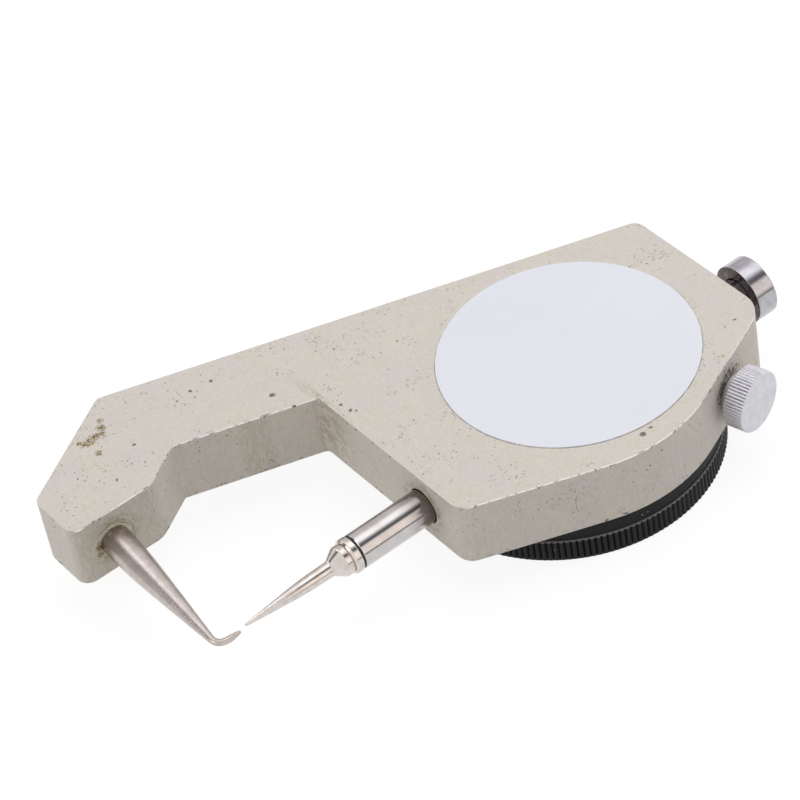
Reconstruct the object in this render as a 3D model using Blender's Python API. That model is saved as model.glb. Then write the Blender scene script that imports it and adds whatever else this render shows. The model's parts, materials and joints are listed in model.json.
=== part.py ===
"""Dial thickness gauge: a cast frame with a bent needle anvil, a spring-loaded
spindle with a needle contact, a rack and gear train, and a turning dial bezel.

Lengths are in metres. The model is drawn with X along the spindle, away from
the needle tips, Y across it towards the arm, and Z from the dial to the back.
X is zero at the dial's centre, Y on the spindle's axis and Z on the frame's
dial face. The finished gauge then stands on its bezel, origin under its middle.
"""
import math

import bmesh
import bpy
from mathutils import Matrix, Vector

# Gaps between pieces
SEAT_GAP = 0.0001          # between faces that are clamped or glued together
FIT_GAP = 0.00015          # around a shaft, pin or screw in its hole
SIDE_GAP = 0.0003          # between neighbours that only lie side by side
OVERRUN = 0.002            # how far a cutter runs past the face it opens

# Spindle: a rod with a rack, a spring bore and a guide slot
SPINDLE_RADIUS = 0.0035
SPINDLE_COVER = 0.0035     # frame above and below the rod
SPINDLE_CHAMFER = 0.0003
SPINDLE_REACH = 0.0160     # out of the throat's side
SPINDLE_STUB = 0.0061      # out of the end face
RACK_PITCH_DEPTH = 0.0013
SPRING_BORE_WALL = 0.0012
STUD_HOLE_RADIUS = 0.00125
STUD_HOLE_DEPTH = 0.0064
TIP_GAP = 0.0015           # as photographed, with the spindle locked
TRAVEL_IN = 0.0012
TRAVEL_OUT = 0.0085

# Pocket for the movement, open to the dial, and the ledge of its front plate
DIAL_OFFSET = 0.0071       # from the spindle's axis to the dial's centre
POCKET_RADIUS = 0.0190
POCKET_ROOF = 0.0020
POCKET_BELOW_SPINDLE = 0.0015
POCKET_BESIDE_LOCK = 0.00255
POCKET_ABOVE_SPINDLE = 0.0011
LEDGE_WIDTH = 0.0035
LEDGE_DEPTH = 0.0016

# Dial base, dial, pointer, bezel and crystal, outwards and downwards
BASE_INSET = 0.0005        # from the ledge's edge to the base's bore
BASE_WIDTH = 0.0053
BASE_FLANGE_WIDTH = 0.0015
BASE_THICK = 0.0027
BASE_FLANGE_THICK = 0.0008
BASE_SCREW_ANGLES = (math.radians(60.0), math.radians(180.0), math.radians(300.0))
BASE_SCREW_RADIUS = 0.0009
BASE_HEAD_RADIUS = 0.0016
BASE_HEAD_HEIGHT = 0.0010
BASE_SCREW_LENGTH = 0.0060
DIAL_THICK = 0.0005
DIAL_HOLE_RADIUS = 0.0016
POINTER_MARGIN = 0.0058    # from the pointer's end to the dial's edge
POINTER_TAIL = 0.0070
POINTER_HALF_WIDTH = 0.0008
POINTER_TIP_HALF_WIDTH = 0.0002
POINTER_TAIL_HALF_WIDTH = 0.0016
POINTER_THICK = 0.0003
POINTER_HUB_RADIUS = 0.0017
POINTER_HUB_LENGTH = 0.0012
POINTER_LIFT = 0.0005
BEZEL_BAND_WALL = 0.0004
BEZEL_KNURL_STEP = 0.0005  # from the smooth band out to the knurl
BEZEL_KNURL_DEPTH = 0.0003
BEZEL_KNURL_COUNT = 150
KNURL_VALLEY_SHARE = 0.9   # share of a knurl's depth that its valleys reach
BEZEL_BAND_DEPTH = 0.0036
BEZEL_KNURL_HEIGHT = 0.0046
BEZEL_FOOT = 0.0003
BEZEL_EDGE = 0.0005
BEZEL_LEDGE_WIDTH = 0.0016     # under the dial's edge
BEZEL_MOUTH_LIP = 0.0009       # under the crystal's edge
CRYSTAL_SEAT_WIDTH = 0.0007    # of the groove that the crystal snaps into
CRYSTAL_THICK = 0.0012
CRYSTAL_LIP = 0.0008

# Frame casting
LOBE_MARGIN = 0.0004       # from the bezel's knurl to the lobe's edge
BACK_EDGE_INSET = 0.0003   # from the dial base's body to the sloping back edge
FRAME_EDGE = 0.0004
END_FACE_MARGIN = 0.0043   # from the lobe to the end face
THROAT_MARGIN = 0.0062     # from the lobe to the throat's side
THROAT_REACH = 0.0452      # from the throat's side to the anvil's root
ARM_WIDTH = 0.0188
NOSE_FACE_Y = 0.0350
NOSE_HEEL_REACH = 0.0095   # from the anvil's root to the throat's slant
NOSE_END_REACH = 0.0083    # from the anvil's root to the nose's end
NOSE_END_HEIGHT = 0.0120
ARM_SLOPE = math.radians(20.0)
NOSE_SLOPE = math.radians(31.0)
LOCK_FLAT_SLOPE = math.radians(24.0)
LOWER_EDGE_SLOPE = math.radians(22.5)
NOSE_ROOT_RADIUS = 0.0020
NOSE_TIP_RADIUS = 0.0026
NOSE_HEEL_RADIUS = 0.0040
THROAT_END_RADIUS = 0.0008
THROAT_RADIUS = 0.0012
TOE_RADIUS = 0.0036
LOCK_CORNER_RADIUS = 0.0064
END_CORNER_RADIUS = 0.0026

# Label on the back
LABEL_MARGIN = 0.0030      # from the label to the sloping back edge
LABEL_THICK = 0.0002
LABEL_SHIFT = (0.0026, -0.0016)   # from the dial's centre

# Anvil: a tapered needle, hooked towards the spindle
ANVIL_LEAN = 0.0020
ANVIL_HOOK_LENGTH = 0.0048
ANVIL_ROOT_RADIUS = 0.0030
ANVIL_PARALLEL = 0.0040
ANVIL_HEEL_RADIUS = 0.00070
ANVIL_BEND_RADIUS = 0.0014
ANVIL_TIP_RADIUS = 0.00028
ANVIL_SPIGOT = 0.0090
ANVIL_SEAT_DEPTH = 0.0005
ANVIL_SHOULDER = 0.00045

# Contact point and its washer
WASHER_INSET = 0.0001
WASHER_THICK = 0.0003
COLLAR_STEP = 0.00005      # proud of the spindle
COLLAR_LENGTH = 0.0017
COLLAR_EDGE = 0.0002
BOSS_INSET = 0.0005
BOSS_LENGTH = 0.0012
CONE_LENGTH = 0.0023
SHANK_RADIUS = 0.0015
SHANK_LENGTH = 0.0074
CONTACT_TIP_RADIUS = 0.0003
CONTACT_STUD_LENGTH = 0.0052

# Lifting cap
CAP_STANDOFF = 0.0039      # from the end face to the cap
CAP_FLANGE = 0.00265
CAP_LENGTH = 0.0045
CAP_EDGE = 0.0004
CAP_STUD_LENGTH = 0.0040

# Bushes, guide pin and return spring
BUSH_WALL = 0.0010
LOWER_BUSH_LENGTH = 0.0100
UPPER_BUSH_LENGTH = 0.0075
BUSH_RECESS = 0.0002
GUIDE_PIN_WALL = 0.0040    # from the guide pin to the upper bush
GUIDE_PIN_RADIUS = 0.0011
GUIDE_PIN_END_WALL = 0.0014
SPRING_LENGTH = 0.0151
SPRING_WIRE_RADIUS = 0.00022
SPRING_SIDE_GAP = 0.00033
SPRING_TURNS = 8
SPRING_CLOSED_TURNS = 0.75      # closed turns at each end
SPRING_CLOSED_PITCH = 0.00055   # rise of a closed turn
SPRING_STEPS = 10               # points on each turn

# Lock screw
LOCK_ANGLE = math.radians(-74.9)
LOCK_TO_PIN = 0.00795      # along the spindle, from the lock to the guide pin
LOCK_KNOB_RADIUS = 0.0060
LOCK_KNOB_LENGTH = 0.0044
LOCK_KNURL_DEPTH = 0.00025
LOCK_KNURL_COUNT = 40
LOCK_KNURL_EDGE = 0.0003
LOCK_NECK_RADIUS = 0.0040
LOCK_NECK_LENGTH = 0.0014
LOCK_SHANK_RADIUS = 0.0019
LOCK_PAD_LENGTH = 0.0030
LOCK_PAD_NOSE = 0.0005
LOCK_PAD_NOSE_RADIUS = 0.0010

# Movement plates, pillars and screws
FRONT_PLATE_THICK = 0.0010
BACK_PLATE_THICK = 0.0009
PLATE_EDGE_GAP = 0.0005
PILLAR_RADIUS = 0.0015
PILLAR_SPIGOT_RADIUS = 0.0008
PILLAR_HOLE_DEPTH = 0.0040
PILLAR_MARGIN = 0.0010     # from a pillar to the back plate's edge
PILLAR_ANGLES = (math.radians(152.0), math.radians(65.0), math.radians(12.0))
SMALL_SCREW_RADIUS = 0.0007
SMALL_HEAD_RADIUS = 0.0013
SMALL_HEAD_HEIGHT = 0.0006
SMALL_SCREW_LENGTH = 0.0036
PLATE_SCREW_ANGLES = (math.radians(110.0), math.radians(228.0), math.radians(15.0))
SCREW_SLOT_WIDTH = 0.0004
SCREW_SLOT_DEPTH = 0.0003
SCREW_EDGE = 0.00015

# Gear train
RACK_PINION_TEETH = 12
RACK_TRAVEL_PER_TURN = 0.0200
RACK_PINION_SHARE = 0.5526    # shares of the pocket's radius
WHEEL_MODULE_SHARE = 0.0263158
RACK_FACE_WIDTH = 0.0040
WHEEL_TEETH = 24
CENTRE_PINION_TEETH = 12
WHEEL_THICK = 0.0010
WHEEL_LIFT = 0.0004        # wheels above the front plate
CENTRE_PINION_WIDTH = 0.0014
ARBOR_RADIUS = 0.0011
PIVOT_RADIUS = 0.0006
ARBOR_HUB_RADIUS = 0.0019
ARBOR_HUB_LENGTH = 0.0005
TAKE_UP_HUB_LENGTH = 0.0024
CENTRE_HAND_RADIUS = 0.0008
CENTRE_TIP_RADIUS = 0.00055
TOOTH_ADDENDUM_SHARE = 0.78   # shares of the module
TOOTH_DEDENDUM_SHARE = 1.16
TOOTH_TIP_SHARE = 0.22        # shares of the circular pitch
TOOTH_ROOT_SHARE = 0.50
HAIRSPRING_TURNS = 3.5
HAIRSPRING_STEPS = 16
HAIRSPRING_START = math.radians(90.0)
HAIRSPRING_RADIUS = 0.00012
HAIRSPRING_WIDTH = 0.0027     # of the coils, from the hub outwards
STUD_POST_RADIUS = 0.0005

# Numbers of flat sides on the round pieces
FINE_SIDES = 64
ROUND_SIDES = 48
SMALL_SIDES = 24
SCREW_SIDES = 12
WIRE_SIDES = 5
HAIRSPRING_SIDES = 4
SHAFT_STEPS = 6
BEND_STEPS = 5
CHORD_DEPTH = 0.00003      # deepest chord on a rounded corner
CORNER_STEP = math.radians(18.0)
SHARP_ANGLE = math.radians(32.0)
RIM_ANGLE = math.radians(50.0)
MERGE_DISTANCE = 0.000001

# Sizes that follow from those above
FRAME_THICK = 2 * (SPINDLE_COVER + SPINDLE_RADIUS)
SPINDLE_Z = FRAME_THICK / 2
DIAL_CENTRE = Vector((0.0, DIAL_OFFSET))
POCKET_DEPTH = FRAME_THICK - POCKET_ROOF
LEDGE_RADIUS = POCKET_RADIUS + LEDGE_WIDTH
PLATE_SCREW_CIRCLE = POCKET_RADIUS + LEDGE_WIDTH / 2
BASE_INNER_RADIUS = LEDGE_RADIUS + BASE_INSET
BASE_BODY_RADIUS = BASE_INNER_RADIUS + BASE_WIDTH
BASE_FLANGE_RADIUS = BASE_BODY_RADIUS + BASE_FLANGE_WIDTH
BASE_SCREW_CIRCLE = BASE_INNER_RADIUS + BASE_WIDTH / 2
BEZEL_RECESS_RADIUS = BASE_FLANGE_RADIUS + SIDE_GAP
BEZEL_BAND_RADIUS = BEZEL_RECESS_RADIUS + BEZEL_BAND_WALL
BEZEL_KNURL_RADIUS = BEZEL_BAND_RADIUS + BEZEL_KNURL_STEP
BEZEL_WALL_RADIUS = BASE_FLANGE_RADIUS - BEZEL_LEDGE_WIDTH
CRYSTAL_RADIUS = BEZEL_WALL_RADIUS + CRYSTAL_SEAT_WIDTH
BEZEL_MOUTH_RADIUS = CRYSTAL_RADIUS - BEZEL_MOUTH_LIP
BEZEL_DEPTH = BEZEL_BAND_DEPTH + BEZEL_EDGE + BEZEL_KNURL_HEIGHT + BEZEL_FOOT
POINTER_LENGTH = BASE_FLANGE_RADIUS - POINTER_MARGIN
LOBE_RADIUS = BEZEL_KNURL_RADIUS + LOBE_MARGIN
BACK_EDGE_REACH = BASE_BODY_RADIUS - BACK_EDGE_INSET
END_FACE_X = LOBE_RADIUS + END_FACE_MARGIN
THROAT_X = -(LOBE_RADIUS + THROAT_MARGIN)
LABEL_RADIUS = BACK_EDGE_REACH - LABEL_MARGIN
UPPER_BUSH_X = END_FACE_X - BUSH_RECESS - UPPER_BUSH_LENGTH
GUIDE_PIN_X = UPPER_BUSH_X - GUIDE_PIN_WALL
LOCK_SPINDLE_X = GUIDE_PIN_X - LOCK_TO_PIN
POCKET_STEP_X = LOCK_SPINDLE_X - POCKET_BESIDE_LOCK
POCKET_STEP_Y = SPINDLE_RADIUS + POCKET_ABOVE_SPINDLE
POCKET_FLOOR_Y = -SPINDLE_RADIUS - POCKET_BELOW_SPINDLE
SPINDLE_FOOT_X = THROAT_X - SPINDLE_REACH
SPINDLE_TOP_X = END_FACE_X + SPINDLE_STUB
CAP_X = END_FACE_X + CAP_STANDOFF
CAP_RADIUS = SPINDLE_RADIUS + CAP_FLANGE
SPRING_BORE_RADIUS = SPINDLE_RADIUS - SPRING_BORE_WALL
SPRING_BORE_X = GUIDE_PIN_X - GUIDE_PIN_RADIUS - SPRING_LENGTH
SPRING_COIL_RADIUS = SPRING_BORE_RADIUS - SPRING_SIDE_GAP - SPRING_WIRE_RADIUS
CAP_STUD_RADIUS = SPRING_BORE_RADIUS - SIDE_GAP
CONTACT_STUD_RADIUS = STUD_HOLE_RADIUS - FIT_GAP
WASHER_RADIUS = SPINDLE_RADIUS - WASHER_INSET
COLLAR_RADIUS = SPINDLE_RADIUS + COLLAR_STEP
BOSS_RADIUS = SPINDLE_RADIUS - BOSS_INSET
ANVIL_ROOT_X = THROAT_X - THROAT_REACH
ANVIL_HOOK_X = ANVIL_ROOT_X - ANVIL_LEAN
ANVIL_TIP_X = ANVIL_HOOK_X + ANVIL_HOOK_LENGTH
ANVIL_SPIGOT_RADIUS = ANVIL_ROOT_RADIUS - ANVIL_SHOULDER
NOSE_END_X = ANVIL_ROOT_X - NOSE_END_REACH
RACK_PITCH_Y = SPINDLE_RADIUS - RACK_PITCH_DEPTH
RACK_PINION_RADIUS = RACK_TRAVEL_PER_TURN / (2 * math.pi)
RACK_MODULE = 2 * RACK_PINION_RADIUS / RACK_PINION_TEETH
RACK_PINION_X = -POCKET_RADIUS * RACK_PINION_SHARE
RACK_PINION_CENTRE = Vector((RACK_PINION_X, RACK_PITCH_Y + RACK_PINION_RADIUS))
WHEEL_MODULE = POCKET_RADIUS * WHEEL_MODULE_SHARE
PILLAR_CIRCLE = POCKET_RADIUS - PLATE_EDGE_GAP - PILLAR_RADIUS - PILLAR_MARGIN
HAIRSPRING_INNER = ARBOR_HUB_RADIUS + HAIRSPRING_RADIUS + SEAT_GAP
HAIRSPRING_OUTER = HAIRSPRING_INNER + HAIRSPRING_WIDTH
FULL_TURN = 2 * math.pi

CREAM_PAINT = ((0.62, 0.58, 0.51), 0.55, 0.0)
WHITE_VINYL = ((0.86, 0.87, 0.93), 0.35, 0.0)
TURNED_STEEL = ((0.55, 0.50, 0.48), 0.32, 1.0)
CHROME = ((0.74, 0.73, 0.74), 0.14, 1.0)
SATIN_NICKEL = ((0.66, 0.65, 0.69), 0.30, 1.0)
BLACK_PLASTIC = ((0.012, 0.012, 0.014), 0.38, 0.0)
BLACK_FIBRE = ((0.01, 0.01, 0.01), 0.70, 0.0)
BRASS = ((0.70, 0.52, 0.25), 0.30, 1.0)
SPRING_STEEL = ((0.42, 0.42, 0.45), 0.25, 1.0)
BLUED_STEEL = ((0.05, 0.06, 0.10), 0.30, 1.0)
DIAL_WHITE = ((0.88, 0.88, 0.86), 0.50, 0.0)
POINTER_BLACK = ((0.01, 0.01, 0.012), 0.35, 0.0)
CLEAR_ACRYLIC = ((0.95, 0.97, 0.98), 0.05, 0.0)


def clear_scene():
    """Remove whatever the start-up scene holds."""
    for item in list(bpy.data.objects):
        bpy.data.objects.remove(item, do_unlink=True)


def polar(radius, angle):
    """Point of the plane at a radius and an angle."""
    return Vector((radius * math.cos(angle), radius * math.sin(angle)))


def new_material(name, finish):
    """Principled material of one piece: colour, roughness and metallic value."""
    colour, roughness, metallic = finish
    material = bpy.data.materials.new(name)
    material.use_nodes = True
    shader = material.node_tree.nodes["Principled BSDF"]
    shader.inputs["Base Color"].default_value = (*colour, 1.0)
    shader.inputs["Roughness"].default_value = roughness
    shader.inputs["Metallic"].default_value = metallic
    return material


def new_empty(name, place, parent=None):
    """Empty that carries the pieces of one moving assembly."""
    empty = bpy.data.objects.new(name, None)
    empty.empty_display_size = SPINDLE_RADIUS
    empty.location = place
    empty.parent = parent
    bpy.context.scene.collection.objects.link(empty)
    return empty


def finish_mesh(bm, name, smooth):
    """Turn a bmesh into a mesh with outward faces and, if round, smooth sides."""
    bmesh.ops.recalc_face_normals(bm, faces=bm.faces)
    mesh = bpy.data.meshes.new(name)
    bm.to_mesh(mesh)
    bm.free()
    if smooth:
        mesh.shade_smooth()
        mesh.set_sharp_from_angle(angle=SHARP_ANGLE)
    return mesh


def add_piece(name, mesh, finish, parent, place=(0, 0, 0), turn=None):
    """Link a mesh as a named piece under its assembly's empty."""
    piece = bpy.data.objects.new(name, mesh)
    mesh.materials.append(new_material(name, finish))
    piece.parent = parent
    piece.location = Vector(place)
    if turn is not None:
        piece.rotation_mode = "QUATERNION"
        piece.rotation_quaternion = turn
    bpy.context.scene.collection.objects.link(piece)
    return piece


def add_cutter(name, mesh, piece, operation="DIFFERENCE", place=(0, 0, 0), turn=None):
    """Boolean tool that cuts a piece, or joins it, in the piece's own space."""
    tool = bpy.data.objects.new(name, mesh)
    tool.parent = piece
    tool.location = Vector(place)
    if turn is not None:
        tool.rotation_mode = "QUATERNION"
        tool.rotation_quaternion = turn
    tool.hide_render = True
    tool.display_type = "WIRE"
    bpy.context.scene.collection.objects.link(tool)
    modifier = piece.modifiers.new(name, "BOOLEAN")
    modifier.operation = operation
    modifier.solver = "EXACT"
    modifier.object = tool
    return tool


def turned_mesh(name, profile, sides=ROUND_SIDES, closed=False):
    """Spin a profile of (radius, height) points about Z.

    A closed profile makes a ring; an open one starts and ends on the axis.
    """
    bm = bmesh.new()
    verts = [bm.verts.new((radius, 0.0, height)) for radius, height in profile]
    edges = [bm.edges.new(pair) for pair in zip(verts, verts[1:])]
    if closed:
        edges.append(bm.edges.new((verts[-1], verts[0])))
    bmesh.ops.spin(
        bm, geom=verts + edges, cent=(0, 0, 0), axis=(0, 0, 1), angle=FULL_TURN, steps=sides)
    bmesh.ops.remove_doubles(bm, verts=bm.verts, dist=MERGE_DISTANCE)
    return finish_mesh(bm, name, True)


def plate_mesh(name, loops, low, high, smooth=True):
    """Extrude an outline with holes from one height to another."""
    bm = bmesh.new()
    edges = []
    for loop in loops:
        verts = [bm.verts.new((point[0], point[1], low)) for point in loop]
        edges += [bm.edges.new(pair) for pair in zip(verts, verts[1:] + verts[:1])]
    bmesh.ops.triangle_fill(bm, use_beauty=True, edges=edges)
    result = bmesh.ops.extrude_face_region(bm, geom=list(bm.faces))
    top = [item for item in result["geom"] if isinstance(item, bmesh.types.BMVert)]
    bmesh.ops.translate(bm, verts=top, vec=(0, 0, high - low))
    return finish_mesh(bm, name, smooth)


def swept_mesh(name, points, radii, sides):
    """Round bar along a path, with a radius at each point and flat ends."""
    bm = bmesh.new()
    rings = []
    across = None
    for index, point in enumerate(points):
        before = points[max(index - 1, 0)]
        after = points[min(index + 1, len(points) - 1)]
        along = (after - before).normalized()
        if across is None:
            across = along.orthogonal().normalized()
        across = (across - along * across.dot(along)).normalized()
        other = along.cross(across)
        ring = []
        for step in range(sides):
            angle = FULL_TURN * step / sides
            offset = across * math.cos(angle) + other * math.sin(angle)
            ring.append(bm.verts.new(point + offset * radii[index]))
        rings.append(ring)
    for near, far in zip(rings, rings[1:]):
        for step in range(sides):
            follow = (step + 1) % sides
            bm.faces.new((near[step], near[follow], far[follow], far[step]))
    bm.faces.new(rings[0][::-1])
    bm.faces.new(rings[-1])
    return finish_mesh(bm, name, True)


def circle_outline(centre, radius, sides):
    """Points of a circle."""
    return [centre + polar(radius, FULL_TURN * step / sides) for step in range(sides)]


def slot_outline(start, end, half_width, sides):
    """Slot with round ends between two points on a line along X."""
    points = []
    for step in range(sides + 1):
        points.append(end + polar(half_width, -math.pi / 2 + math.pi * step / sides))
    for step in range(sides + 1):
        points.append(start + polar(half_width, math.pi / 2 + math.pi * step / sides))
    return points


def rounded_outline(corners):
    """Polygon with each corner (point, radius) rounded by a tangent arc."""
    points = []
    count = len(corners)
    for index, (corner, radius) in enumerate(corners):
        before = (corners[index - 1][0] - corner).normalized()
        after = (corners[(index + 1) % count][0] - corner).normalized()
        half = before.angle(after) / 2
        reach = radius / math.tan(half)
        centre = corner + (before + after).normalized() * (radius / math.sin(half))
        first = corner + before * reach - centre
        turn = first.angle_signed(corner + after * reach - centre)
        step_turn = min(CORNER_STEP, 2 * math.acos(1 - CHORD_DEPTH / radius))
        steps = max(1, math.ceil(abs(turn) / step_turn))
        start = math.atan2(first.y, first.x)
        for step in range(steps + 1):
            points.append(centre + polar(radius, start - turn * step / steps))
    return points


def line_by_normal(angle, reach, centre=Vector((0.0, 0.0))):
    """Line at a distance from a point: its unit normal and its offset."""
    normal = polar(1.0, angle)
    return normal, normal.dot(centre) + reach


def line_through(angle, point):
    """Line with a given normal direction through a point."""
    normal = polar(1.0, angle)
    return normal, normal.dot(point)


def meeting(first, second):
    """Point where two lines meet."""
    (a, p), (b, q) = first, second
    return Vector((p * b.y - q * a.y, a.x * q - b.x * p)) / (a.x * b.y - a.y * b.x)


def frame_outline():
    """Outline of the casting, round its lobe, arm, nose and throat."""
    quarter = math.pi / 2
    back = line_by_normal(quarter - ARM_SLOPE, BACK_EDGE_REACH, DIAL_CENTRE)
    throat_top = (back[0], back[1] - ARM_WIDTH)
    end = line_by_normal(0.0, END_FACE_X)
    lock_flat = line_by_normal(LOCK_FLAT_SLOPE - quarter, LOBE_RADIUS, DIAL_CENTRE)
    lower = line_by_normal(-LOWER_EDGE_SLOPE - quarter, LOBE_RADIUS, DIAL_CENTRE)
    throat_side = line_by_normal(0.0, THROAT_X)
    nose_face = line_by_normal(quarter, NOSE_FACE_Y)
    nose_end = line_by_normal(0.0, NOSE_END_X)
    heel = Vector((ANVIL_ROOT_X + NOSE_HEEL_REACH, NOSE_FACE_Y))
    slant = line_through(NOSE_SLOPE - quarter, heel)
    nose_top = Vector((NOSE_END_X, NOSE_FACE_Y + NOSE_END_HEIGHT))
    chamfer = line_through(NOSE_SLOPE + quarter, nose_top)
    return rounded_outline([
        (meeting(back, end), END_CORNER_RADIUS),
        (meeting(back, chamfer), NOSE_ROOT_RADIUS),
        (nose_top, NOSE_TIP_RADIUS),
        (meeting(nose_end, nose_face), NOSE_TIP_RADIUS),
        (heel, NOSE_HEEL_RADIUS),
        (meeting(throat_top, slant), THROAT_END_RADIUS),
        (meeting(throat_top, throat_side), THROAT_RADIUS),
        (meeting(throat_side, lower), TOE_RADIUS),
        (meeting(lower, lock_flat), LOBE_RADIUS),
        (meeting(lock_flat, end), LOCK_CORNER_RADIUS),
    ])


def pocket_outline(inset):
    """Round pocket, cut off below the spindle and stepped at the lock screw."""
    radius = POCKET_RADIUS - inset
    floor_y = POCKET_FLOOR_Y + inset - DIAL_OFFSET
    step_x = POCKET_STEP_X - inset
    step_y = POCKET_STEP_Y + inset - DIAL_OFFSET
    start = math.asin(step_y / radius)
    end = math.pi - math.asin(floor_y / radius)
    steps = ROUND_SIDES * 5 // 8
    points = [DIAL_CENTRE + polar(radius, start + (end - start) * step / steps)
              for step in range(steps + 1)]
    points.append(DIAL_CENTRE + Vector((step_x, floor_y)))
    points.append(DIAL_CENTRE + Vector((step_x, step_y)))
    return points


def tooth_outline(teeth, module, phase):
    """Outline of a gear with straight-sided teeth, one tooth centred at the phase."""
    pitch = math.pi * module
    pitch_radius = teeth * module / 2
    tip = pitch_radius + TOOTH_ADDENDUM_SHARE * module
    root = pitch_radius - TOOTH_DEDENDUM_SHARE * module
    half_tip = TOOTH_TIP_SHARE * pitch / tip / 2
    half_root = TOOTH_ROOT_SHARE * pitch / root / 2
    points = []
    for tooth in range(teeth):
        centre = phase + FULL_TURN * tooth / teeth
        points.append(polar(root, centre - half_root))
        points.append(polar(tip, centre - half_tip))
        points.append(polar(tip, centre + half_tip))
        points.append(polar(root, centre + half_root))
    return points


def meshed_phase(teeth, phase, centre, mate_teeth, mate_centre):
    """Tooth phase of a gear that meshes with another."""
    line = math.atan2(mate_centre.y - centre.y, mate_centre.x - centre.x)
    return line + math.pi - teeth / mate_teeth * (phase - line) + math.pi / mate_teeth


def crossing_centre(first, first_reach, second, second_reach):
    """Centre at given distances from two others, on the arm's side."""
    span = second - first
    along = (first_reach ** 2 - second_reach ** 2 + span.length_squared) / (2 * span.length)
    unit = span.normalized()
    rise = math.sqrt(first_reach ** 2 - along ** 2)
    return first + unit * along + Vector((-unit.y, unit.x)) * rise


def along_x():
    """Rotation that lays a piece turned about Z along X."""
    return Vector((0, 0, 1)).rotation_difference(Vector((1, 0, 0)))


def lock_direction():
    """Direction of the lock screw's axis, out of the frame."""
    out = polar(1.0, LOCK_ANGLE)
    return Vector((out.x, out.y, 0.0))


def add_screw(name, radius, length, head_radius, head_height, root, place):
    """Screw with its slotted head downwards and its seat at the given place."""
    edge = SCREW_EDGE
    profile = [
        (0.0, -head_height),
        (head_radius - edge, -head_height),
        (head_radius, edge - head_height),
        (head_radius, 0.0),
        (radius, 0.0),
        (radius, length - edge),
        (radius - edge, length),
        (0.0, length),
    ]
    mesh = turned_mesh(name, profile, SCREW_SIDES)
    screw = add_piece(name, mesh, SPRING_STEEL, root, place=place)
    half_width = SCREW_SLOT_WIDTH / 2
    reach = head_radius + SCREW_EDGE
    outline = [Vector((-reach, -half_width)), Vector((reach, -half_width)),
               Vector((reach, half_width)), Vector((-reach, half_width))]
    slot = plate_mesh(name + "_slot", [outline], -head_height - SCREW_EDGE,
                      SCREW_SLOT_DEPTH - head_height, smooth=False)
    add_cutter(name + "_slot", slot, screw)
    return screw


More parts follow.
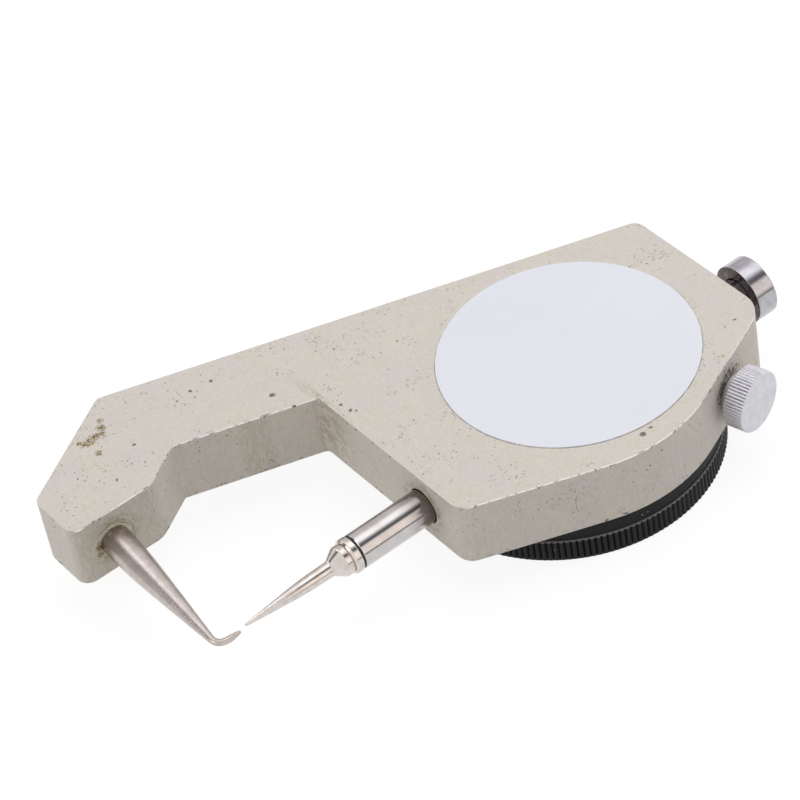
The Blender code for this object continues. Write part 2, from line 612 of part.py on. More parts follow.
def build_frame(root):
    """Casting with its pocket, ledge, bores and screw holes."""
    mesh = plate_mesh("frame", [frame_outline()], 0.0, FRAME_THICK)
    frame = add_piece("frame", mesh, CREAM_PAINT, root)
    bevel = frame.modifiers.new("edges", "BEVEL")
    bevel.width = FRAME_EDGE
    bevel.segments = 2
    bevel.limit_method = "ANGLE"
    bevel.angle_limit = RIM_ANGLE
    pocket = plate_mesh("pocket_cut", [pocket_outline(0.0)], -OVERRUN, POCKET_DEPTH)
    add_cutter("pocket_cut", pocket, frame)
    ledge = turned_mesh("ledge_cut", [
        (0.0, LEDGE_DEPTH), (LEDGE_RADIUS, LEDGE_DEPTH),
        (LEDGE_RADIUS, -OVERRUN), (0.0, -OVERRUN)], ROUND_SIDES)
    add_cutter("ledge_cut", ledge, frame, place=(*DIAL_CENTRE, 0.0))

    bore = SPINDLE_RADIUS + FIT_GAP
    bush = bore + BUSH_WALL + FIT_GAP
    upper_end = UPPER_BUSH_X - SEAT_GAP
    lower_end = lower_bush_end() - LOWER_BUSH_LENGTH - SEAT_GAP
    spindle_cut = turned_mesh("spindle_cut", [
        (0.0, THROAT_X - OVERRUN), (bore, THROAT_X - OVERRUN),
        (bore, lower_end), (bush, lower_end),
        (bush, 0.0), (bore, 0.0),
        (bore, upper_end), (bush, upper_end),
        (bush, END_FACE_X + OVERRUN), (0.0, END_FACE_X + OVERRUN)], ROUND_SIDES)
    add_cutter("spindle_cut", spindle_cut, frame, place=(0, 0, SPINDLE_Z), turn=along_x())

    pin_hole = turned_mesh("pin_cut", [
        (0.0, -OVERRUN), (GUIDE_PIN_RADIUS + SEAT_GAP, -OVERRUN),
        (GUIDE_PIN_RADIUS + SEAT_GAP, FRAME_THICK - GUIDE_PIN_END_WALL + SEAT_GAP),
        (0.0, FRAME_THICK - GUIDE_PIN_END_WALL + SEAT_GAP)], SMALL_SIDES)
    add_cutter("pin_cut", pin_hole, frame, place=(GUIDE_PIN_X, 0, 0))

    lock_hole = turned_mesh("lock_cut", [
        (0.0, 0.0), (LOCK_SHANK_RADIUS + FIT_GAP, 0.0),
        (LOCK_SHANK_RADIUS + FIT_GAP, LOBE_RADIUS), (0.0, LOBE_RADIUS)], SMALL_SIDES)
    turn = Vector((0, 0, 1)).rotation_difference(lock_direction())
    add_cutter("lock_cut", lock_hole, frame, place=(LOCK_SPINDLE_X, 0, SPINDLE_Z), turn=turn)

    spigot = ANVIL_SPIGOT_RADIUS + FIT_GAP
    collar = ANVIL_ROOT_RADIUS + FIT_GAP
    anvil_hole = turned_mesh("anvil_cut", [
        (0.0, -OVERRUN), (collar, -OVERRUN),
        (collar, ANVIL_SEAT_DEPTH + SEAT_GAP), (spigot, ANVIL_SEAT_DEPTH + SEAT_GAP),
        (spigot, ANVIL_SPIGOT + SEAT_GAP), (0.0, ANVIL_SPIGOT + SEAT_GAP)], SMALL_SIDES)
    turn = Vector((0, 0, 1)).rotation_difference(anvil_direction())
    add_cutter("anvil_cut", anvil_hole, frame,
               place=(ANVIL_ROOT_X, NOSE_FACE_Y, SPINDLE_Z), turn=turn)

    for index, place in enumerate(plate_screw_places()):
        hole = screw_hole("plate_screw_cut_%d" % index, SMALL_SCREW_RADIUS,
                          front_plate_low() + SMALL_SCREW_LENGTH)
        add_cutter(hole.name, hole, frame, place=(*place, 0.0))
    for index, place in enumerate(base_screw_places()):
        hole = screw_hole("base_screw_cut_%d" % index, BASE_SCREW_RADIUS, base_screw_top() + SEAT_GAP)
        add_cutter(hole.name, hole, frame, place=(*place, 0.0))
    return frame


def screw_hole(name, radius, depth):
    """Blind screw hole from the dial face of the frame."""
    return turned_mesh(name, [
        (0.0, -OVERRUN), (radius + FIT_GAP, -OVERRUN),
        (radius + FIT_GAP, depth), (0.0, depth)], SCREW_SIDES)


def lower_bush_end():
    """Where the pocket's wall meets the spindle, on the throat side."""
    return -math.sqrt(POCKET_RADIUS ** 2 - DIAL_OFFSET ** 2) - PLATE_EDGE_GAP


def pillar_places():
    """Places of the pillars between the two plates."""
    return [DIAL_CENTRE + polar(PILLAR_CIRCLE, angle) for angle in PILLAR_ANGLES]


def plate_screw_places():
    """Places of the screws that hold the front plate on its ledge."""
    return [DIAL_CENTRE + polar(PLATE_SCREW_CIRCLE, angle) for angle in PLATE_SCREW_ANGLES]


def base_screw_places():
    """Places of the screws that hold the dial base to the frame."""
    return [DIAL_CENTRE + polar(BASE_SCREW_CIRCLE, angle) for angle in BASE_SCREW_ANGLES]


def front_plate_low():
    """Height of the front plate's face towards the dial."""
    return LEDGE_DEPTH - SIDE_GAP - FRONT_PLATE_THICK


def back_plate_low():
    """Height of the back plate's face towards the gears."""
    return POCKET_DEPTH - SIDE_GAP - BACK_PLATE_THICK


def base_screw_top():
    """Height that the dial base's screws reach in the frame."""
    return BASE_SCREW_LENGTH + base_head_seat()


def base_head_seat():
    """Height of the seat that the dial base's screw heads pull against."""
    return -SIDE_GAP - BASE_THICK + BASE_HEAD_HEIGHT + SEAT_GAP


def anvil_direction():
    """Direction of the anvil's axis, from its hook to its root."""
    rise = Vector((ANVIL_ROOT_X - ANVIL_HOOK_X, NOSE_FACE_Y, 0.0))
    return rise.normalized()


def build_label(root):
    """Thin round label on the back."""
    low = FRAME_THICK + SEAT_GAP
    mesh = turned_mesh("back_label", [
        (0.0, low), (LABEL_RADIUS, low), (LABEL_RADIUS, low + LABEL_THICK),
        (0.0, low + LABEL_THICK)], FINE_SIDES)
    place = DIAL_CENTRE + Vector(LABEL_SHIFT)
    return add_piece("back_label", mesh, WHITE_VINYL, root, place=(*place, 0))


def build_anvil(root):
    """Tapered needle whose tip is hooked towards the spindle."""
    root_point = Vector((ANVIL_ROOT_X, NOSE_FACE_Y, 0.0))
    hook_point = Vector((ANVIL_HOOK_X, 0.0, 0.0))
    up = anvil_direction()
    points, radii = [], []
    for rise, radius in ((ANVIL_SPIGOT, ANVIL_SPIGOT_RADIUS),
                         (ANVIL_SEAT_DEPTH, ANVIL_SPIGOT_RADIUS),
                         (ANVIL_SEAT_DEPTH, ANVIL_ROOT_RADIUS),
                         (-ANVIL_PARALLEL, ANVIL_ROOT_RADIUS)):
        points.append(root_point + up * rise)
        radii.append(radius)
    bend = ANVIL_BEND_RADIUS
    reach = (root_point - hook_point).length - ANVIL_PARALLEL
    for step in range(1, SHAFT_STEPS + 1):
        share = step / SHAFT_STEPS
        points.append(points[3] - up * (reach - bend) * share)
        radii.append(ANVIL_ROOT_RADIUS + (ANVIL_HEEL_RADIUS - ANVIL_ROOT_RADIUS) * share)
    tip = Vector((ANVIL_TIP_X, 0.0, 0.0))
    start = points[-1]
    hook_length = (tip - hook_point).length - bend
    bend_length = bend * math.pi / 2
    tail = hook_point + (tip - hook_point).normalized() * bend
    for step in range(1, BEND_STEPS + 1):
        share = step / BEND_STEPS
        curve = start.lerp(hook_point, share).lerp(hook_point.lerp(tail, share), share)
        points.append(curve)
        fall = bend_length * share / (bend_length + hook_length)
        radii.append(ANVIL_HEEL_RADIUS + (ANVIL_TIP_RADIUS - ANVIL_HEEL_RADIUS) * fall)
    points.append(tip)
    radii.append(ANVIL_TIP_RADIUS)
    mesh = swept_mesh("anvil", points, radii, SMALL_SIDES)
    return add_piece("anvil", mesh, TURNED_STEEL, root, place=(0, 0, SPINDLE_Z))


def build_spindle(carrier):
    """Rod with the rack, the spring bore, the guide slot and the contact's hole."""
    edge = SPINDLE_CHAMFER
    profile = [
        (0.0, SPINDLE_FOOT_X + STUD_HOLE_DEPTH),
        (STUD_HOLE_RADIUS, SPINDLE_FOOT_X + STUD_HOLE_DEPTH),
        (STUD_HOLE_RADIUS, SPINDLE_FOOT_X),
        (SPINDLE_RADIUS - edge, SPINDLE_FOOT_X),
        (SPINDLE_RADIUS, SPINDLE_FOOT_X + edge),
        (SPINDLE_RADIUS, SPINDLE_TOP_X - edge),
        (SPINDLE_RADIUS - edge, SPINDLE_TOP_X),
        (SPRING_BORE_RADIUS, SPINDLE_TOP_X),
        (SPRING_BORE_RADIUS, SPRING_BORE_X),
        (0.0, SPRING_BORE_X),
    ]
    mesh = turned_mesh("spindle", profile, ROUND_SIDES)
    spindle = add_piece("spindle", mesh, CHROME, carrier, turn=along_x())

    module = RACK_MODULE
    pitch = math.pi * module
    tip_y = RACK_PITCH_Y + TOOTH_ADDENDUM_SHARE * module
    root_y = RACK_PITCH_Y - TOOTH_DEDENDUM_SHARE * module
    clear = RACK_PINION_RADIUS + module + SIDE_GAP
    start = RACK_PINION_X - TRAVEL_OUT - clear
    end = RACK_PINION_X + TRAVEL_IN + clear
    first = math.ceil((start - RACK_PINION_X) / pitch)
    last = math.floor((end - RACK_PINION_X) / pitch)
    above = SPINDLE_RADIUS + OVERRUN
    outline = [Vector((end, above)), Vector((start, above)), Vector((start, root_y))]
    for tooth in range(first, last + 1):
        middle = RACK_PINION_X + pitch * tooth
        half_tip = TOOTH_TIP_SHARE * pitch / 2
        half_root = TOOTH_ROOT_SHARE * pitch / 2
        if middle - half_root < start or middle + half_root > end:
            continue
        outline.append(Vector((middle - half_root, root_y)))
        outline.append(Vector((middle - half_tip, tip_y)))
        outline.append(Vector((middle + half_tip, tip_y)))
        outline.append(Vector((middle + half_root, root_y)))
    outline.append(Vector((end, root_y)))
    half_height = SPINDLE_RADIUS + OVERRUN
    rack = plate_mesh("rack_cut", [outline], -half_height, half_height, smooth=False)
    add_cutter("rack_cut", rack, spindle, turn=along_x().inverted())

    play = GUIDE_PIN_RADIUS + SIDE_GAP
    slot_start = Vector((GUIDE_PIN_X - TRAVEL_OUT - SIDE_GAP, 0.0))
    slot_end = Vector((GUIDE_PIN_X + TRAVEL_IN + SIDE_GAP, 0.0))
    slot = plate_mesh(
        "slot_cut", [slot_outline(slot_start, slot_end, play, 6)], -half_height, half_height)
    add_cutter("slot_cut", slot, spindle, turn=along_x().inverted())
    return spindle


def build_contact(carrier):
    """Washer and the turned contact with its needle, screwed into the spindle."""
    washer_start = SPINDLE_FOOT_X - SEAT_GAP
    washer_end = washer_start - WASHER_THICK
    bore = CONTACT_STUD_RADIUS + FIT_GAP
    mesh = turned_mesh("contact_washer", [
        (bore, washer_end), (WASHER_RADIUS, washer_end),
        (WASHER_RADIUS, washer_start), (bore, washer_start)], ROUND_SIDES, closed=True)
    add_piece("contact_washer", mesh, BLACK_FIBRE, carrier, turn=along_x())

    collar = washer_end - SEAT_GAP
    boss = collar - COLLAR_LENGTH
    cone = boss - BOSS_LENGTH
    shank = cone - CONE_LENGTH
    taper = shank - SHANK_LENGTH
    tip = ANVIL_TIP_X + TIP_GAP
    edge = COLLAR_EDGE
    profile = [
        (0.0, tip),
        (CONTACT_TIP_RADIUS, tip),
        (SHANK_RADIUS, taper),
        (SHANK_RADIUS, shank),
        (BOSS_RADIUS, cone),
        (BOSS_RADIUS, boss),
        (COLLAR_RADIUS - edge, boss),
        (COLLAR_RADIUS, boss + edge),
        (COLLAR_RADIUS, collar - edge),
        (COLLAR_RADIUS - edge, collar),
        (CONTACT_STUD_RADIUS, collar),
        (CONTACT_STUD_RADIUS, collar + CONTACT_STUD_LENGTH),
        (0.0, collar + CONTACT_STUD_LENGTH),
    ]
    mesh = turned_mesh("contact_point", profile, SMALL_SIDES)
    return add_piece("contact_point", mesh, TURNED_STEEL, carrier, turn=along_x())


def build_cap(carrier):
    """Flanged cap that lifts the spindle, screwed into its spring bore."""
    end = CAP_X + CAP_LENGTH
    socket = SPINDLE_TOP_X + SEAT_GAP
    socket_radius = SPINDLE_RADIUS + FIT_GAP
    edge = CAP_EDGE
    profile = [
        (0.0, socket - CAP_STUD_LENGTH),
        (CAP_STUD_RADIUS, socket - CAP_STUD_LENGTH),
        (CAP_STUD_RADIUS, socket),
        (socket_radius, socket),
        (socket_radius, CAP_X),
        (CAP_RADIUS - edge, CAP_X),
        (CAP_RADIUS, CAP_X + edge),
        (CAP_RADIUS, end - edge),
        (CAP_RADIUS - edge, end),
        (0.0, end),
    ]
    mesh = turned_mesh("lift_cap", profile, ROUND_SIDES)
    return add_piece("lift_cap", mesh, SATIN_NICKEL, carrier, turn=along_x())


def build_bushes(root):
    """Two plain bushes that guide the spindle."""
    inner = SPINDLE_RADIUS + FIT_GAP
    outer = inner + BUSH_WALL
    upper_end = UPPER_BUSH_X + UPPER_BUSH_LENGTH
    lower_end = lower_bush_end()
    for name, start, end in (
            ("lower_bush", lower_end - LOWER_BUSH_LENGTH, lower_end),
            ("upper_bush", upper_end - UPPER_BUSH_LENGTH, upper_end)):
        mesh = turned_mesh(name, [
            (inner, start), (outer, start), (outer, end), (inner, end)],
            ROUND_SIDES, closed=True)
        add_piece(name, mesh, BRASS, root, place=(0, 0, SPINDLE_Z), turn=along_x())


def build_guide(root):
    """Pin across the spindle's slot, and the spring that pushes against it."""
    top = FRAME_THICK - GUIDE_PIN_END_WALL
    low = SIDE_GAP
    mesh = turned_mesh("guide_pin", [
        (0.0, low), (GUIDE_PIN_RADIUS, low), (GUIDE_PIN_RADIUS, top), (0.0, top)], SMALL_SIDES)
    add_piece("guide_pin", mesh, SPRING_STEEL, root, place=(GUIDE_PIN_X, 0, 0))

    wire = SPRING_WIRE_RADIUS
    start = SPRING_BORE_X + SEAT_GAP + wire
    end = GUIDE_PIN_X - GUIDE_PIN_RADIUS - SEAT_GAP - wire
    open_turns = SPRING_TURNS - 2 * SPRING_CLOSED_TURNS
    open_rise = end - start - 2 * SPRING_CLOSED_TURNS * SPRING_CLOSED_PITCH
    points = []
    for step in range(SPRING_TURNS * SPRING_STEPS + 1):
        turns = step / SPRING_STEPS
        opened = min(max(turns - SPRING_CLOSED_TURNS, 0.0), open_turns)
        closed = turns - opened
        height = start + open_rise * opened / open_turns + SPRING_CLOSED_PITCH * closed
        place = polar(SPRING_COIL_RADIUS, FULL_TURN * turns)
        points.append(Vector((place.x, place.y, height)))
    mesh = swept_mesh("return_spring", points, [wire] * len(points), WIRE_SIDES)
    return add_piece("return_spring", mesh, SPRING_STEEL, root,
                     place=(0, 0, SPINDLE_Z), turn=along_x())


def build_lock(feed, screw_carrier):
    """Knurled lock screw and the pad that it presses on the spindle."""
    out = lock_direction()
    turn = Vector((0, 0, 1)).rotation_difference(out)
    slope = math.cos(math.pi / 2 + LOCK_ANGLE)
    lean = math.sin(math.pi / 2 + LOCK_ANGLE)
    nose = (SPINDLE_RADIUS + SIDE_GAP + LOCK_PAD_NOSE_RADIUS * abs(lean)) / slope
    pad_end = nose + LOCK_PAD_LENGTH
    shoulder = LOCK_PAD_NOSE
    mesh = turned_mesh("lock_pad", [
        (0.0, nose), (LOCK_PAD_NOSE_RADIUS, nose), (LOCK_SHANK_RADIUS, nose + shoulder),
        (LOCK_SHANK_RADIUS, pad_end), (0.0, pad_end)], SMALL_SIDES)
    add_piece("lock_pad", mesh, BRASS, feed, turn=turn)

    wall = lock_wall_reach()
    back = wall + LOCK_NECK_LENGTH
    face = back + LOCK_KNOB_LENGTH
    root_radius = LOCK_KNOB_RADIUS - LOCK_KNURL_DEPTH
    edge = LOCK_KNURL_EDGE
    shank_start = pad_end + SEAT_GAP
    profile = [
        (0.0, shank_start),
        (LOCK_SHANK_RADIUS, shank_start),
        (LOCK_SHANK_RADIUS, wall),
        (LOCK_NECK_RADIUS, wall),
        (LOCK_NECK_RADIUS, back),
        (root_radius - edge, back),
        (root_radius, back + edge),
        (root_radius, face - edge),
        (root_radius - edge, face),
        (0.0, face),
    ]
    mesh = turned_mesh("lock_screw", profile, ROUND_SIDES)
    screw = add_piece("lock_screw", mesh, SATIN_NICKEL, screw_carrier, turn=turn)
    knurl = knurl_mesh("lock_knurl", root_radius - edge, LOCK_KNOB_RADIUS, LOCK_KNURL_DEPTH,
                       LOCK_KNURL_COUNT, back + 2 * edge, face - 2 * edge)
    add_cutter("lock_knurl", knurl, screw, operation="UNION")
    return screw


def lock_wall_reach():
    """Distance along the lock screw's axis at which its neck clears the flat."""
    normal, offset = line_by_normal(LOCK_FLAT_SLOPE - math.pi / 2, LOBE_RADIUS, DIAL_CENTRE)
    out = polar(1.0, LOCK_ANGLE)
    start = normal.dot(Vector((LOCK_SPINDLE_X, 0.0)))
    slope = normal.dot(out)
    lean = math.sqrt(1 - slope ** 2)
    return (offset - start + LOCK_NECK_RADIUS * lean + SIDE_GAP) / slope


def knurl_mesh(name, inner, outer, depth, count, low, high):
    """Ring of straight knurling between two heights."""
    points = []
    for ridge in range(count):
        angle = FULL_TURN * ridge / count
        half = FULL_TURN / count / 2
        points.append(polar(outer, angle))
        points.append(polar(outer - depth * KNURL_VALLEY_SHARE, angle + half))
    hole = circle_outline(Vector((0.0, 0.0)), inner, ROUND_SIDES)
    return plate_mesh(name, [points, hole], low, high, smooth=False)


def build_plates(root):
    """Front and back plates of the movement, with their pivot and screw holes."""
    centres = arbor_centres()
    front_low = front_plate_low()
    front_high = front_low + FRONT_PLATE_THICK
    front = [circle_outline(DIAL_CENTRE, LEDGE_RADIUS - SIDE_GAP, ROUND_SIDES)]
    hole_radius = PIVOT_RADIUS + FIT_GAP
    front.append(circle_outline(centres["centre"], ARBOR_RADIUS + FIT_GAP, SCREW_SIDES))
    front.append(circle_outline(centres["rack"], hole_radius, SCREW_SIDES))
    front.append(circle_outline(centres["take_up"], hole_radius, SCREW_SIDES))
    for place in pillar_places() + plate_screw_places():
        front.append(circle_outline(place, SMALL_SCREW_RADIUS + FIT_GAP, SCREW_SIDES))
    mesh = plate_mesh("movement_front_plate", front, front_low, front_high)
    add_piece("movement_front_plate", mesh, BRASS, root)

    back = [pocket_outline(PLATE_EDGE_GAP)]
    back_low = back_plate_low()
    back_high = back_low + BACK_PLATE_THICK
    for centre in centres.values():
        back.append(circle_outline(centre, hole_radius, SCREW_SIDES))
    for place in pillar_places():
        back.append(circle_outline(place, PILLAR_SPIGOT_RADIUS + FIT_GAP, SCREW_SIDES))
    back.append(circle_outline(stud_place(), STUD_POST_RADIUS + FIT_GAP, SCREW_SIDES))
    mesh = plate_mesh("movement_back_plate", back, back_low, back_high)
    add_piece("movement_back_plate", mesh, BRASS, root)

    pillar_low = front_high + SEAT_GAP
    pillar_high = back_low - SEAT_GAP
    hole = SMALL_SCREW_RADIUS + FIT_GAP
    profile = [
        (0.0, pillar_low + PILLAR_HOLE_DEPTH), (hole, pillar_low + PILLAR_HOLE_DEPTH),
        (hole, pillar_low), (PILLAR_RADIUS, pillar_low), (PILLAR_RADIUS, pillar_high),
        (PILLAR_SPIGOT_RADIUS, pillar_high), (PILLAR_SPIGOT_RADIUS, back_high), (0.0, back_high)]
    for index, place in enumerate(pillar_places(), start=1):
        name = "movement_pillar_%d" % index
        mesh = turned_mesh(name, profile, SCREW_SIDES)
        add_piece(name, mesh, BRASS, root, place=(*place, 0.0))
    places = pillar_places() + plate_screw_places()
    names = ["pillar_screw_%d" % index for index in (1, 2, 3)]
    names += ["plate_screw_%d" % index for index in (1, 2, 3)]
    for name, place in zip(names, places):
        add_screw(name, SMALL_SCREW_RADIUS, SMALL_SCREW_LENGTH, SMALL_HEAD_RADIUS,
                  SMALL_HEAD_HEIGHT, root, (*place, front_low - SEAT_GAP))


def arbor_centres():
    """Centres of the three arbors, from the distances that their gears need."""
    wheel = WHEEL_MODULE * WHEEL_TEETH / 2
    pinion = WHEEL_MODULE * CENTRE_PINION_TEETH / 2
    take_up = crossing_centre(RACK_PINION_CENTRE, 2 * wheel, DIAL_CENTRE, wheel + pinion)
    return {"rack": RACK_PINION_CENTRE, "centre": DIAL_CENTRE, "take_up": take_up}


def gear_phases():
    """Tooth phases at rest that put each gear in mesh with the next."""
    centres = arbor_centres()
    phases = {"rack_pinion": -math.pi / 2 + math.pi / RACK_PINION_TEETH, "rack_wheel": 0.0}
    phases["take_up"] = meshed_phase(
        WHEEL_TEETH, phases["rack_wheel"], centres["rack"], WHEEL_TEETH, centres["take_up"])
    phases["centre"] = meshed_phase(
        WHEEL_TEETH, phases["take_up"], centres["take_up"],
        CENTRE_PINION_TEETH, centres["centre"])
    return phases


def stud_place():
    """Place of the post that holds the hairspring's outer end."""
    centre = arbor_centres()["take_up"]
    reach = HAIRSPRING_OUTER + STUD_POST_RADIUS + HAIRSPRING_RADIUS + SEAT_GAP
    return centre + polar(reach, FULL_TURN * HAIRSPRING_TURNS + HAIRSPRING_START)


def add_wheel(name, phase, carrier):
    """Toothed wheel on its arbor, with a bore that clears the shaft."""
    low = front_plate_low() + FRONT_PLATE_THICK + WHEEL_LIFT
    bore = circle_outline(Vector((0.0, 0.0)), ARBOR_RADIUS + FIT_GAP / 2, SMALL_SIDES)
    teeth = tooth_outline(WHEEL_TEETH, WHEEL_MODULE, phase)
    mesh = plate_mesh(name, [teeth, bore], low, low + WHEEL_THICK, smooth=False)
    return add_piece(name, mesh, BRASS, carrier)


def arbor_profile(hub_length):
    """Profile of a wheel's arbor between the two plates, with its pivots and hub."""
    front_low = front_plate_low()
    front_high = front_low + FRONT_PLATE_THICK
    back_low = back_plate_low()
    hub_low = front_high + WHEEL_LIFT + WHEEL_THICK + SEAT_GAP
    hub_high = hub_low + hub_length
    return [
        (0.0, front_low), (PIVOT_RADIUS, front_low), (PIVOT_RADIUS, front_high + SEAT_GAP),
        (ARBOR_RADIUS, front_high + SEAT_GAP), (ARBOR_RADIUS, hub_low),
        (ARBOR_HUB_RADIUS, hub_low), (ARBOR_HUB_RADIUS, hub_high),
        (ARBOR_RADIUS, hub_high), (ARBOR_RADIUS, back_low - SEAT_GAP),
        (PIVOT_RADIUS, back_low - SEAT_GAP), (PIVOT_RADIUS, back_low + BACK_PLATE_THICK),
        (0.0, back_low + BACK_PLATE_THICK)]


def build_train(carriers):
    """Rack pinion, centre pinion and take-up arbor, each with its wheel or hand."""
    phases = gear_phases()
    mesh = turned_mesh("rack_arbor", arbor_profile(ARBOR_HUB_LENGTH), SMALL_SIDES)
    rack_arbor = add_piece("rack_arbor", mesh, SPRING_STEEL, carriers["rack"])
    half = RACK_FACE_WIDTH / 2
    pinion = plate_mesh(
        "rack_teeth", [tooth_outline(RACK_PINION_TEETH, RACK_MODULE, phases["rack_pinion"])],
        SPINDLE_Z - half, SPINDLE_Z + half, smooth=False)
    add_cutter("rack_teeth", pinion, rack_arbor, operation="UNION")
    add_wheel("rack_wheel", phases["rack_wheel"], carriers["rack"])

    mesh = turned_mesh("take_up_arbor", arbor_profile(TAKE_UP_HUB_LENGTH), SMALL_SIDES)
    add_piece("take_up_arbor", mesh, SPRING_STEEL, carriers["take_up"])
    add_wheel("take_up_wheel", phases["take_up"], carriers["take_up"])

    back_low = back_plate_low()
    hand_top = -dial_depth() - DIAL_THICK - POINTER_LIFT
    profile = [
        (0.0, hand_top - POINTER_HUB_LENGTH), (CENTRE_TIP_RADIUS, hand_top - POINTER_HUB_LENGTH),
        (CENTRE_TIP_RADIUS, hand_top + SEAT_GAP), (CENTRE_HAND_RADIUS, hand_top + SEAT_GAP),
        (CENTRE_HAND_RADIUS, 0.0), (ARBOR_RADIUS, 0.0),
        (ARBOR_RADIUS, back_low - SEAT_GAP), (PIVOT_RADIUS, back_low - SEAT_GAP),
        (PIVOT_RADIUS, back_low + BACK_PLATE_THICK), (0.0, back_low + BACK_PLATE_THICK)]
    mesh = turned_mesh("centre_arbor", profile, SMALL_SIDES)
    centre_arbor = add_piece("centre_arbor", mesh, SPRING_STEEL, carriers["centre"])
    low = front_plate_low() + FRONT_PLATE_THICK + WHEEL_LIFT - (CENTRE_PINION_WIDTH - WHEEL_THICK) / 2
    pinion = plate_mesh(
        "centre_teeth", [tooth_outline(CENTRE_PINION_TEETH, WHEEL_MODULE, phases["centre"])],
        low, low + CENTRE_PINION_WIDTH, smooth=False)
    add_cutter("centre_teeth", pinion, centre_arbor, operation="UNION")


def hairspring_level():
    """Height of the hairspring, near the far end of the take-up arbor's hub."""
    hub_low = front_plate_low() + FRONT_PLATE_THICK + WHEEL_LIFT + WHEEL_THICK
    return hub_low + TAKE_UP_HUB_LENGTH - ARBOR_HUB_LENGTH


def build_hairspring(root):
    """Flat spiral that takes up the backlash, and the post at its outer end."""
    centre = arbor_centres()["take_up"]
    steps = round(HAIRSPRING_TURNS * HAIRSPRING_STEPS)
    points = []
    for step in range(steps + 1):
        share = step / steps
        angle = FULL_TURN * HAIRSPRING_TURNS * share + HAIRSPRING_START
        place = polar(HAIRSPRING_INNER + HAIRSPRING_WIDTH * share, angle)
        points.append(Vector((place.x, place.y, hairspring_level())))
    mesh = swept_mesh(
        "hairspring", points, [HAIRSPRING_RADIUS] * len(points), HAIRSPRING_SIDES)
    add_piece("hairspring", mesh, BLUED_STEEL, root, place=(*centre, 0.0))

    top = POCKET_DEPTH - SIDE_GAP
    low = hairspring_level() - 2 * STUD_POST_RADIUS
    mesh = turned_mesh("hairspring_stud", [
        (0.0, low), (STUD_POST_RADIUS, low), (STUD_POST_RADIUS, top), (0.0, top)], SCREW_SIDES)
    add_piece("hairspring_stud", mesh, BRASS, root, place=(*stud_place(), 0.0))


def dial_depth():
    """Depth of the dial's upper face below the frame."""
    return SIDE_GAP + BASE_THICK + SIDE_GAP


def build_base(root):
    """Flanged ring that holds the bezel to the frame, and its three screws."""
    low = -SIDE_GAP - BASE_THICK
    flange = low + BASE_FLANGE_THICK
    mesh = turned_mesh("dial_base", [
        (BASE_INNER_RADIUS, low), (BASE_FLANGE_RADIUS, low), (BASE_FLANGE_RADIUS, flange),
        (BASE_BODY_RADIUS, flange), (BASE_BODY_RADIUS, -SIDE_GAP),
        (BASE_INNER_RADIUS, -SIDE_GAP)], FINE_SIDES, closed=True)
    base = add_piece("dial_base", mesh, BLACK_PLASTIC, root, place=(*DIAL_CENTRE, 0.0))
    seat = base_head_seat()
    for index, place in enumerate(base_screw_places(), start=1):
        hole = BASE_SCREW_RADIUS + FIT_GAP
        head = BASE_HEAD_RADIUS + FIT_GAP
        name = "base_hole_%d" % index
        cut = turned_mesh(name, [
            (0.0, low - OVERRUN), (head, low - OVERRUN), (head, seat), (hole, seat),
            (hole, OVERRUN), (0.0, OVERRUN)], SCREW_SIDES)
        offset = place - DIAL_CENTRE
        add_cutter(name, cut, base, place=(*offset, 0.0))
        add_screw("base_screw_%d" % index, BASE_SCREW_RADIUS, BASE_SCREW_LENGTH,
                  BASE_HEAD_RADIUS, BASE_HEAD_HEIGHT, root, (*place, seat - SEAT_GAP))


def build_pointer(carrier):
    """Hand with a tapered blade, a tail and a round hub, pressed on its arbor."""
    top = -dial_depth() - DIAL_THICK - POINTER_LIFT
    low = top - POINTER_HUB_LENGTH
    angle = FULL_TURN * TIP_GAP / pointer_lead()
    blade_top = top - (POINTER_HUB_LENGTH - POINTER_THICK) / 2
    bore = CENTRE_TIP_RADIUS + FIT_GAP
    mesh = turned_mesh("pointer", [
        (bore, low), (POINTER_HUB_RADIUS, low), (POINTER_HUB_RADIUS, top), (bore, top)],
        SMALL_SIDES, closed=True)
    pointer = add_piece("pointer", mesh, POINTER_BLACK, carrier)
    start = (bore + POINTER_HUB_RADIUS) / 2
    for name, reach, tip_half in (
            ("pointer_blade", POINTER_LENGTH, POINTER_TIP_HALF_WIDTH),
            ("pointer_tail", -POINTER_TAIL, POINTER_TAIL_HALF_WIDTH)):
        sign = math.copysign(1.0, reach)
        outline = [
            Vector((sign * start, -POINTER_HALF_WIDTH)), Vector((reach, -tip_half)),
            Vector((reach, tip_half)), Vector((sign * start, POINTER_HALF_WIDTH))]
        blade = plate_mesh(name, [outline], blade_top - POINTER_THICK, blade_top, smooth=False)
        turn = Matrix.Rotation(angle, 3, "Z").to_quaternion()
        add_cutter(name, blade, pointer, operation="UNION", turn=turn)
    return pointer


def pointer_lead():
    """Spindle travel for one turn of the pointer."""
    return RACK_TRAVEL_PER_TURN * CENTRE_PINION_TEETH / WHEEL_TEETH


